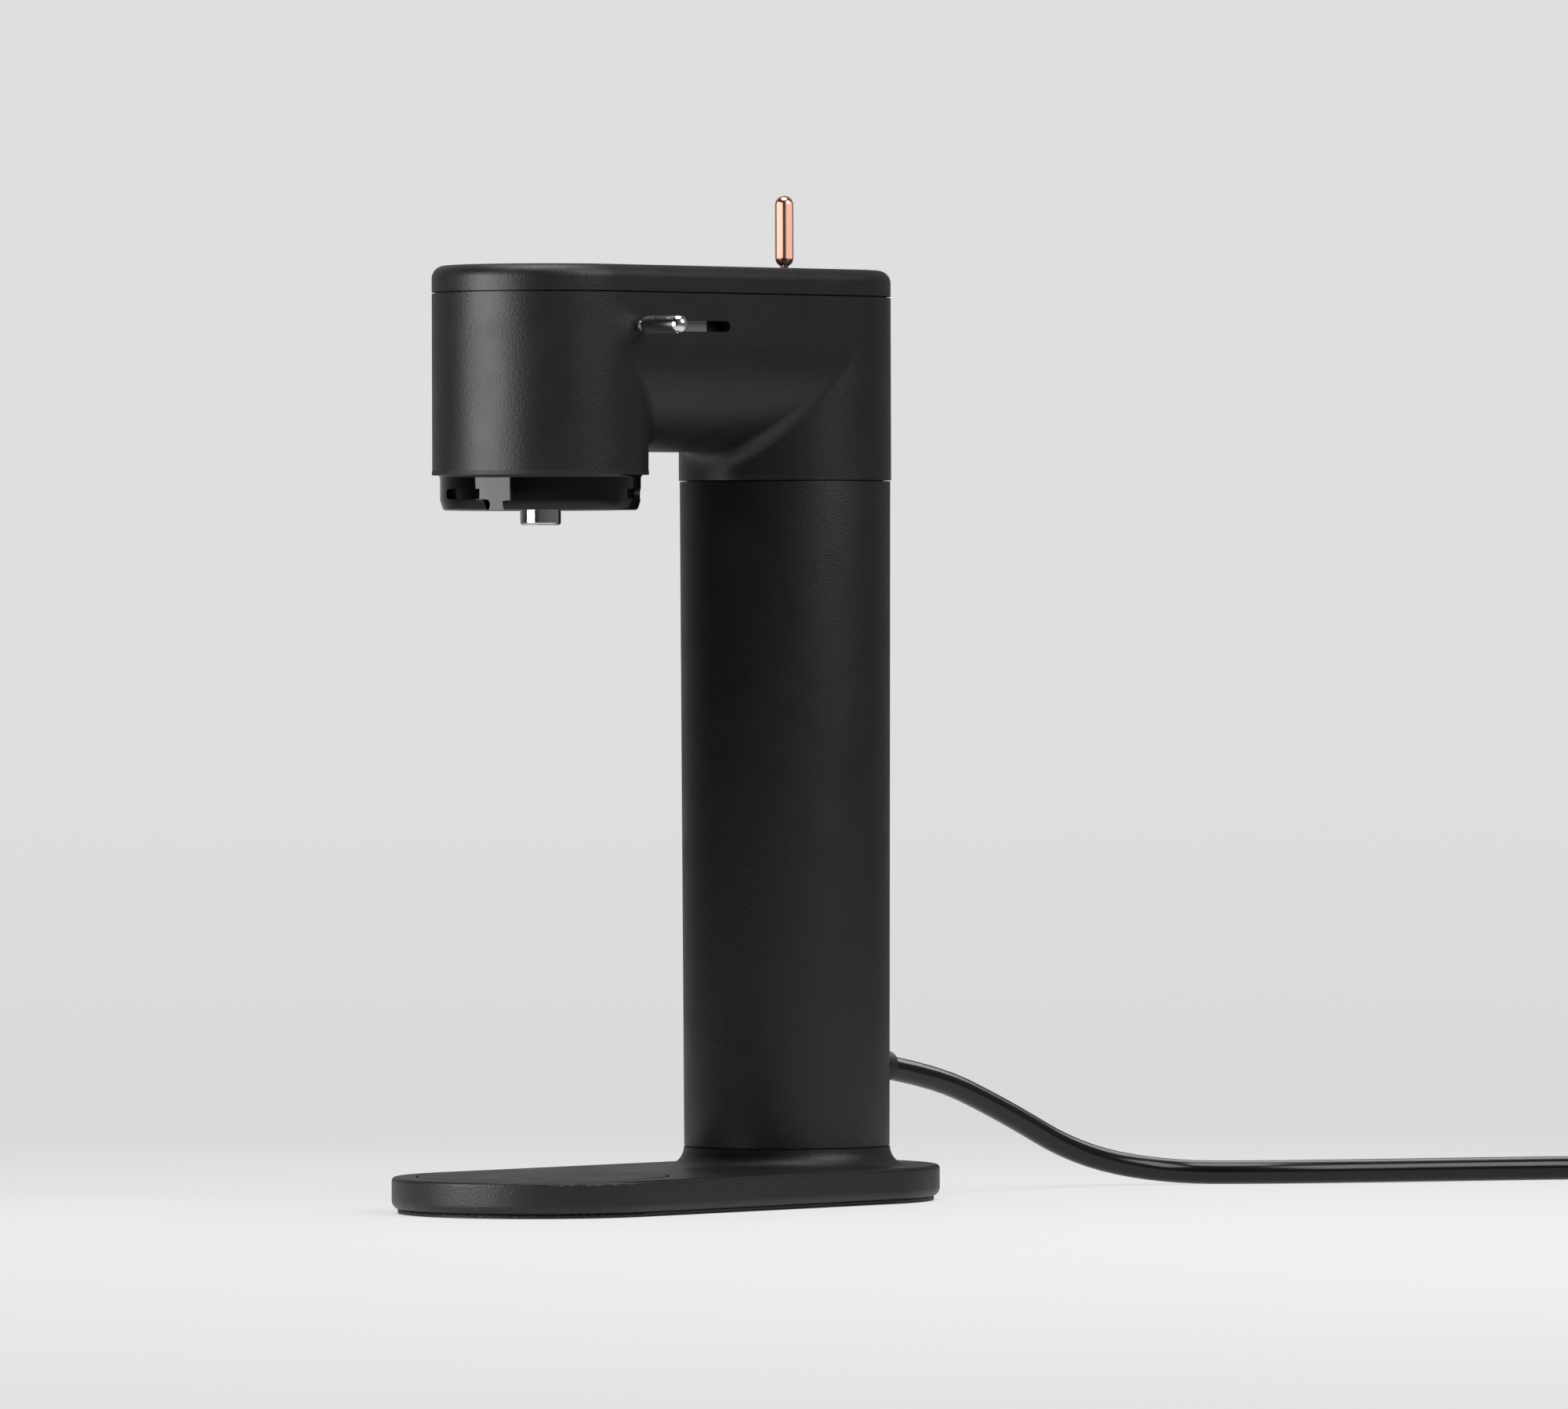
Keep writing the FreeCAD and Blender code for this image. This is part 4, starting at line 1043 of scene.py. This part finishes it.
@dataclass
class ScrewRing:
    """Screws with a cross recess, evenly spaced on a circle, heads down.

    The centre is on the level of the heads' lower faces. The edge share is the head's radius there
    against its full radius, and overlap is how far the shank goes into the head.
    """

    name: str
    node: str
    centre: Point
    ring_radius: float
    count: int
    first_angle: float
    head_height: float
    shank_length: float
    head_radius: float = 0.0028
    shank_radius: float = 0.0015
    edge_share: float = 0.86
    recess_length: float = 0.0034
    recess_width: float = 0.0007
    recess_depth: float = 0.0018
    overlap: float = 0.00002

    def build(self) -> bpy.types.Object:
        """Set one screw on every point of the circle, each turned as the driver left it.

        Returns:
            All the screws as one piece.
        """
        tree = PieceTree(self.name)
        head_r = tree.size("Head radius", self.head_radius)
        shank_r = tree.size("Shank radius", self.shank_radius)
        rim_r = tree.add("ShaderNodeMath", {0: head_r, 1: self.edge_share}, operation="MULTIPLY")
        head = tree.add("GeometryNodeMeshCone", {
            "Vertices": 36, "Radius Top": head_r, "Radius Bottom": rim_r, "Depth": self.head_height})
        long, thin, deep = self.recess_length, self.recess_width, self.recess_depth
        arms = [tree.add("GeometryNodeMeshCube", {"Size": size}) for size in (
            (long, thin, deep), (thin, long, deep))]
        recess = tree.add("GeometryNodeMeshBoolean", {"Mesh 1": head, "Mesh 2": arms}, operation="DIFFERENCE")
        shank = tree.add("GeometryNodeMeshCylinder", {
            "Vertices": 28, "Radius": shank_r, "Depth": self.shank_length})
        raised = tree.add("GeometryNodeTransform", {
            "Geometry": shank,
            "Translation": (0.0, 0.0, self.head_height + self.shank_length / 2 - self.overlap)})
        screw = tree.add("GeometryNodeJoinGeometry", {0: [raised, recess]})
        ring = tree.add("GeometryNodeMeshCircle", {"Vertices": self.count, "Radius": self.ring_radius})
        turned = tree.add("GeometryNodeTransform", {
            "Geometry": ring, "Translation": self.centre,
            "Rotation": (0.0, 0.0, math.radians(self.first_angle))})
        lean = tree.add("FunctionNodeRandomValue", {2: 0.0, 3: math.tau, "Seed": 5}, data_type="FLOAT")
        spin = tree.add("ShaderNodeCombineXYZ", {2: lean.outputs[1]})
        all_round = tree.add("GeometryNodeInstanceOnPoints", {
            "Points": turned, "Instance": screw, "Rotation": spin})
        screws = tree.make(all_round, Paint.STEEL, 35)
        return finish_piece(screws, Paint.STEEL, "chassis", [self.node])


BASE_SCREWS = ScrewRing(
    "base_fixings", "base_screws", centre=(0.0, 0.076, 0.0036), ring_radius=0.0402, count=6,
    first_angle=30.0, head_height=0.002, shank_length=0.025)
COLLAR_SCREWS = ScrewRing(
    "collar_fixings", "collar_screws", centre=(0.0, -0.076, 0.3118), ring_radius=0.024, count=3,
    first_angle=90.0, head_height=0.0016, shank_length=0.0104)


@dataclass
class RubberFoot:
    """Rubber sheet under the base, with a sealing rim and a field of small round studs inside it."""

    edge_radius: float = 0.0620
    front_y: float = -0.076
    rear_y: float = 0.079
    hole_y: float = 0.076
    hole_radius: float = 0.044
    rim_width: float = 0.0018
    stud_pitch: float = 0.0070
    stud_radius: float = 0.0019
    stud_height: float = 0.0006
    # Free band without studs inside the edge and round the cover's hole, and the rim's bite in the sheet
    edge_margin: float = 0.0055
    hole_margin: float = 0.0035
    rim_bite: float = 0.0002
    steps: int = 48

    def oblong(self, reach: float) -> list[Vector]:
        """Outline of two half circles round the foot's two ends.

        Args:
            reach: radius of both half circles.

        Returns:
            The points of the outline on the floor.
        """
        spots = []
        for y, start in ((self.rear_y, 0.0), (self.front_y, math.pi)):
            for step in range(self.steps + 1):
                a = start + math.pi * step / self.steps
                spots.append(Vector((reach * math.cos(a), y + reach * math.sin(a), 0.0)))
        return spots

    def raised_sheet(self) -> bpy.types.Object:
        """Copy the working pad, with its underside hollowed inside a rim that meets the floor.

        Returns:
            The sheet.
        """
        pad = merged_copy("foot_pad", "foot_sheet")
        outer = self.oblong(self.edge_radius)
        inner = self.oblong(self.edge_radius - self.rim_width)
        top = self.stud_height + self.rim_bite
        with edited(pad.data) as bm:
            for vert in bm.verts:
                vert.co.z = max(vert.co.z, self.stud_height)
            rows = [[bm.verts.new(spot + UP * z) for spot in ring]
                    for ring, z in ((outer, 0.0), (outer, top), (inner, top), (inner, 0.0))]
            rim = []
            for low, high in zip(rows, rows[1:] + rows[:1]):
                rim += stitch(bm, low, high)
            bmesh.ops.recalc_face_normals(bm, faces=rim)
        return pad

    def build(self) -> bpy.types.Object:
        """Set the studs in the gap under the raised sheet.

        Returns:
            Sheet, rim and studs as one piece.
        """
        tree = PieceTree("rubber_foot")
        pitch = tree.size("Stud pitch", self.stud_pitch)
        radius = tree.size("Stud radius", self.stud_radius)
        middle = (self.front_y + self.rear_y) / 2
        half = (self.rear_y - self.front_y) / 2
        reach = half + self.edge_radius
        across = math.floor(self.edge_radius / self.stud_pitch)
        along = math.floor(reach / self.stud_pitch)
        wide = tree.add("ShaderNodeMath", {0: pitch, 1: float(2 * across)}, operation="MULTIPLY")
        long = tree.add("ShaderNodeMath", {0: pitch, 1: float(2 * along)}, operation="MULTIPLY")
        grid = tree.add("GeometryNodeMeshGrid", {
            "Size X": wide, "Size Y": long,
            "Vertices X": 2 * across + 1, "Vertices Y": 2 * along + 1})
        placed = tree.add("GeometryNodeTransform", {
            "Geometry": grid, "Translation": (0.0, middle, self.stud_height)})
        spot = tree.add("GeometryNodeInputPosition")
        parts = tree.add("ShaderNodeSeparateXYZ", {0: spot})
        from_middle = tree.add("ShaderNodeMath", {0: parts.outputs["Y"], 1: middle}, operation="SUBTRACT")
        size_y = tree.add("ShaderNodeMath", {0: from_middle}, operation="ABSOLUTE")
        beyond = tree.add("ShaderNodeMath", {0: size_y, 1: half}, operation="SUBTRACT")
        over = tree.add("ShaderNodeMath", {0: beyond, 1: 0.0}, operation="MAXIMUM")
        corner = tree.add("ShaderNodeCombineXYZ", {0: parts.outputs["X"], 1: over})
        from_spine = tree.add("ShaderNodeVectorMath", {0: corner}, operation="LENGTH")
        outside = tree.add("ShaderNodeMath", {
            0: from_spine.outputs["Value"], 1: self.edge_radius - self.edge_margin}, operation="GREATER_THAN")
        level = tree.add("ShaderNodeCombineXYZ", {0: parts.outputs["X"], 1: parts.outputs["Y"]})
        from_hole = tree.add("ShaderNodeVectorMath", {
            0: level, 1: (0.0, self.hole_y, 0.0)}, operation="DISTANCE")
        in_hole = tree.add("ShaderNodeMath", {
            0: from_hole.outputs["Value"], 1: self.hole_radius + self.hole_margin}, operation="LESS_THAN")
        drop = tree.add("ShaderNodeMath", {0: outside, 1: in_hole}, operation="MAXIMUM")
        kept = tree.add("GeometryNodeDeleteGeometry", {"Geometry": placed, "Selection": drop}, domain="POINT")
        rim = tree.add("ShaderNodeMath", {0: radius, 1: 0.6}, operation="MULTIPLY")
        stud = tree.add("GeometryNodeMeshCone", {
            "Vertices": 12, "Radius Top": rim, "Radius Bottom": radius, "Depth": self.stud_height})
        hung = tree.add("GeometryNodeTransform", {"Geometry": stud, "Rotation": (math.pi, 0.0, 0.0)})
        studs = tree.add("GeometryNodeInstanceOnPoints", {"Points": kept, "Instance": hung})
        joined = tree.add("GeometryNodeJoinGeometry", {0: [studs, tree.entry.outputs["Geometry"]]})
        pad = self.raised_sheet()
        foot = tree.make(joined, Paint.RUBBER, 35, pad.data)
        bpy.data.objects.remove(pad)
        return finish_piece(foot, Paint.RUBBER, "chassis", ["foot_pad"])


@dataclass
class BottleCollar:
    """Gloss collar with a hollow socket and three bayonet tracks with rounded corners."""

    axis_y: float = -0.076
    radius: float = 0.0430
    bottom_z: float = 0.3003
    top_z: float = 0.3154
    socket_radius: float = 0.0355
    socket_top: float = 0.3110
    hole_radius: float = 0.0090
    track_depth: float = 0.0026
    track_low: float = 0.3050
    track_high: float = 0.3094
    track_width: float = 0.0086
    track_corner: float = 0.0030
    track_start: float = -73.5
    track_sweep: float = 41.0
    track_cuts: int = 24
    cutter_depth: float = 0.008
    edge_width: float = 0.00022
    steps: int = 192

    def body(self) -> bpy.types.Object:
        """Turn the collar's closed section about its axis.

        Returns:
            The plain collar.
        """
        outline = (
            (self.hole_radius, self.top_z), (self.hole_radius, self.socket_top),
            (self.socket_radius, self.socket_top), (self.socket_radius, self.bottom_z + 0.0010),
            (self.socket_radius + 0.0004, self.bottom_z + 0.0003), (self.socket_radius + 0.0010, self.bottom_z),
            (self.radius - 0.0023, self.bottom_z), (self.radius - 0.0017, self.bottom_z + 0.0002),
            (self.radius - 0.0011, self.bottom_z + 0.0009), (self.radius, self.bottom_z + 0.0045),
            (self.radius, self.top_z - 0.0014), (self.radius + 0.0003, self.top_z - 0.0006),
            (self.radius + 0.0009, self.top_z),
        )
        bm = bmesh.new()
        rings = []
        for step in range(self.steps):
            a = math.tau * step / self.steps
            rings.append([bm.verts.new((r * math.cos(a), self.axis_y + r * math.sin(a), z))
                          for r, z in outline])
        for here, there in zip(rings, rings[1:] + rings[:1]):
            for k in range(len(outline)):
                n = (k + 1) % len(outline)
                bm.faces.new((here[k], there[k], there[n], here[n]))
        bmesh.ops.recalc_face_normals(bm, faces=bm.faces)
        return mesh_object(bm, "bayonet_collar")

    def track_outline(self) -> list[tuple[float, float]]:
        """Outline of one track laid flat, with rounded corners.

        Returns:
            Pairs of distance along the rim and height.
        """
        run = math.radians(self.track_sweep) * self.radius
        half = self.track_width / 2
        below = self.bottom_z - 0.002
        round_end = (self.track_high - self.track_low) / 2.02
        corners = (
            (half, below, 0.0), (half, self.track_high, self.track_corner),
            (-run, self.track_high, round_end), (-run, self.track_low, round_end),
            (-half, self.track_low, self.track_corner * 0.9), (-half, below, 0.0))
        points: list[tuple[float, float]] = []
        for index, (x, z, r) in enumerate(corners):
            before = Vector(corners[index - 1][:2]) - Vector((x, z))
            after = Vector(corners[(index + 1) % len(corners)][:2]) - Vector((x, z))
            if not r:
                points.append((x, z))
                continue
            a, b = before.normalized() * r, after.normalized() * r
            middle = Vector((x, z)) + a + b
            for step in range(7):
                share = step / 6 * math.pi / 2
                spot = middle - b * math.cos(share) - a * math.sin(share)
                points.append((spot.x, spot.y))
        return points

    def track_cutter(self, angle: float) -> bpy.types.Object:
        """Solid in the shape of one track, bent round the collar.

        Args:
            angle: bearing of the entry slot about the collar's axis, in degrees.

        Returns:
            The cutter, with its faces outwards.
        """
        outline = self.track_outline()
        bm = bmesh.new()
        floor = bm.faces.new([bm.verts.new((x, 0.0, z)) for x, z in outline])
        grown = bmesh.ops.extrude_face_region(bm, geom=[floor])
        tops = [v for v in grown["geom"] if isinstance(v, bmesh.types.BMVert)]
        bmesh.ops.translate(bm, verts=tops, vec=(0.0, self.cutter_depth, 0.0))
        low, high = min(x for x, _ in outline), max(x for x, _ in outline)
        for step in range(1, self.track_cuts):
            x = low + (high - low) * step / self.track_cuts
            bmesh.ops.bisect_plane(bm, geom=bm.verts[:] + bm.edges[:] + bm.faces[:],
                                   plane_co=(x, 0.0, 0.0), plane_no=(1.0, 0.0, 0.0))
        inner = self.radius - self.track_depth
        for vert in bm.verts:
            a = math.radians(angle) + vert.co.x / self.radius
            r = inner + vert.co.y
            vert.co = Vector((r * math.cos(a), self.axis_y + r * math.sin(a), vert.co.z))
        bmesh.ops.recalc_face_normals(bm, faces=bm.faces)
        if bm.calc_volume(signed=True) < 0:
            bmesh.ops.reverse_faces(bm, faces=bm.faces)
        return mesh_object(bm, "track_cutter")

    def build(self) -> bpy.types.Object:
        """Cut the three tracks into the collar and soften its edges.

        Returns:
            The collar.
        """
        collar = self.body()
        for index in range(3):
            cutter = self.track_cutter(self.track_start + 120 * index)
            cut = collar.modifiers.new("track", "BOOLEAN")
            cut.operation = "DIFFERENCE"
            cut.solver = "EXACT"
            cut.object = cutter
            in_order(applied(collar).data)
            bpy.data.objects.remove(cutter)
        with edited(collar.data) as bm:
            bmesh.ops.remove_doubles(bm, verts=bm.verts, dist=0.01 * MM)
            bmesh.ops.dissolve_limit(bm, angle_limit=math.radians(0.4), verts=bm.verts, edges=bm.edges)
        soften(collar, self.edge_width, 50)
        smooth_by_angle(collar.data, 32)
        even_shading(collar)
        return finish_piece(collar, Paint.GLOSS, "chassis", ["bottle_collar"])


@dataclass
class Machine:
    """The machine's other pieces, each a merged, softened and dressed copy of its working part."""

    # Height of the cut between the base and the column's flared seat
    seat_z: float = 0.0161
    # Points of the head below this height are its lower rims
    rim_z: float = 0.3163
    rear_skirt: float = 0.0021
    front_lift: float = 0.0014
    gasket_lift: float = 0.001
    edge_width: float = 0.0003
    plunger_travel: float = 0.00294
    mat_y: float = -0.076
    mat_shrink: float = 0.990
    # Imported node, piece, finish, body, slot, angle in degrees that stays crisp, and edge bevel in mm
    shells: tuple[tuple[str, str, Paint, str, str, float, float], ...] = (
        ("bottom_cover", "twist_cover", Paint.ABS, "cover", "plastic_dark", 28, 0.3),
        ("head_lid", "top_lid", Paint.POWDER, "chassis", "powder_black", 28, 0.3),
        ("bottle_seal", "bottle_gasket", Paint.RUBBER, "chassis", "rubber_black", 28, 0.2),
        ("nozzle", "gas_nozzle", Paint.STAINLESS, "chassis", "chrome", 28, 0.0),
        ("side_peg", "side_capsule", Paint.CHROME, "selector", "chrome", 35, 0.0),
        ("peg_stem", "side_stem", Paint.STEEL, "selector", "steel", 35, 0.0),
        ("slider_plate", "slot_shutter", Paint.SHUTTER, "selector", "shutter_grey", 35, 0.3),
        ("lever_core", "lever_stem", Paint.STEEL, "lever", "steel", 35, 0.0),
        ("gas_cylinder", "carbonic_cylinder", Paint.ALUMINIUM, "gas", "aluminium", 35, 0.0),
    )

    def base(self) -> bpy.types.Object:
        """Make the cast base, with its flared seat for the column as a piece of its own.

        The seat stays out of the left strip's light, as the column does.

        Returns:
            The base without the seat.
        """
        base = merged_copy("base_plate", "cast_base", 28, self.edge_width)
        flare = link_object(bpy.data.objects.new("column_seat", base.data.copy()))
        for piece, upper in ((base, False), (flare, True)):
            with edited(piece.data) as bm:
                bmesh.ops.bisect_plane(bm, geom=bm.verts[:] + bm.edges[:] + bm.faces[:], dist=1e-7,
                                       plane_co=(0.0, 0.0, self.seat_z), plane_no=(0.0, 0.0, 1.0),
                                       clear_outer=not upper, clear_inner=upper)
        finish_piece(flare, Paint.POWDER, "chassis")
        return finish_piece(base, Paint.POWDER, "chassis", ["base_plate"])

    def head(self) -> bpy.types.Object:
        """Make the cast head. Its rear rim laps over the column, and its front one stops above the gasket.

        Returns:
            The head.
        """
        head = merged_copy("head_casting", "bridge_head", 28, self.edge_width)
        for vert in head.data.vertices:
            if vert.co.z < self.rim_z:
                vert.co.z += -self.rear_skirt if vert.co.y > 0 else self.front_lift
        return finish_piece(head, Paint.POWDER, "chassis", ["head_casting"])

    def gasket(self) -> bpy.types.Object:
        """Make the dark gasket that fills the step between the collar and the head's front rim.

        Returns:
            The gasket.
        """
        gasket = merged_copy("collar_flange", "collar_gasket", 28)
        zs = [vert.co.z for vert in gasket.data.vertices]
        middle = (min(zs) + max(zs)) / 2
        for vert in gasket.data.vertices:
            vert.co.z += self.front_lift if vert.co.z > middle else self.gasket_lift
        return finish_piece(gasket, Paint.RUBBER, "chassis", ["collar_flange"])

    def mat(self) -> bpy.types.Object:
        """Make the loose silicone mat, with a soft edge and a fine gap all round it.

        Returns:
            The mat.
        """
        mat = merged_copy("bottle_mat", "silicone_mat", 28, self.edge_width)
        for vert in mat.data.vertices:
            vert.co.x *= self.mat_shrink
            vert.co.y = self.mat_y + (vert.co.y - self.mat_y) * self.mat_shrink
        return finish_piece(mat, Paint.MAT, "mat", ["bottle_mat"])

    def spring(self) -> None:
        """Make the return spring, which stands on the valve block under the plunger, on a mesh of its own."""
        spring = merged_copy("plunger_spring", "return_spring", 35)
        finish_piece(spring, Paint.STEEL, "chassis", ["plunger_spring"])
        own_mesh(spring)

    def lever(self) -> bpy.types.Object:
        """Copper capsule that stands on the lever's stem."""
        grip = merged_copy("lever_capsule", "lever_grip", 35)
        return finish_piece(grip, Paint.COPPER, "lever", ["lever_capsule"])

    def build(self) -> list[bpy.types.Object]:
        """Make every visible piece apart from the column, the cord and the lever's capsule.

        Returns:
            The pieces that the left strip lights.
        """
        self.spring()
        made = [self.base(), self.head(), self.gasket(), self.mat()]
        for node, name, paint, body, slot, degrees, edge in self.shells:
            piece = merged_copy(node, name, degrees, edge * MM)
            made.append(finish_piece(piece, paint, body, [node]))
        for part in (BottleCollar(), RubberFoot(), BASE_SCREWS, COLLAR_SCREWS):
            made.append(part.build())
        return made

    def dress_carried(self) -> None:
        """Give every node that keeps its own shape its finish."""
        for node, paint in CARRIED.items():
            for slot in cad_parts[node].material_slots:
                slot.material = paint.material()


def main() -> None:
    """Build the studio, the cord and the machine in order."""
    logging.basicConfig(level=logging.INFO)
    studio = Studio()
    studio.build()
    lead = MainsLead().build()
    Column().build()
    machine = Machine()
    lit = machine.build()
    machine.dress_carried()
    studio.light_pieces(lead, lit, machine.lever())


if __name__ == "__main__":
    main()
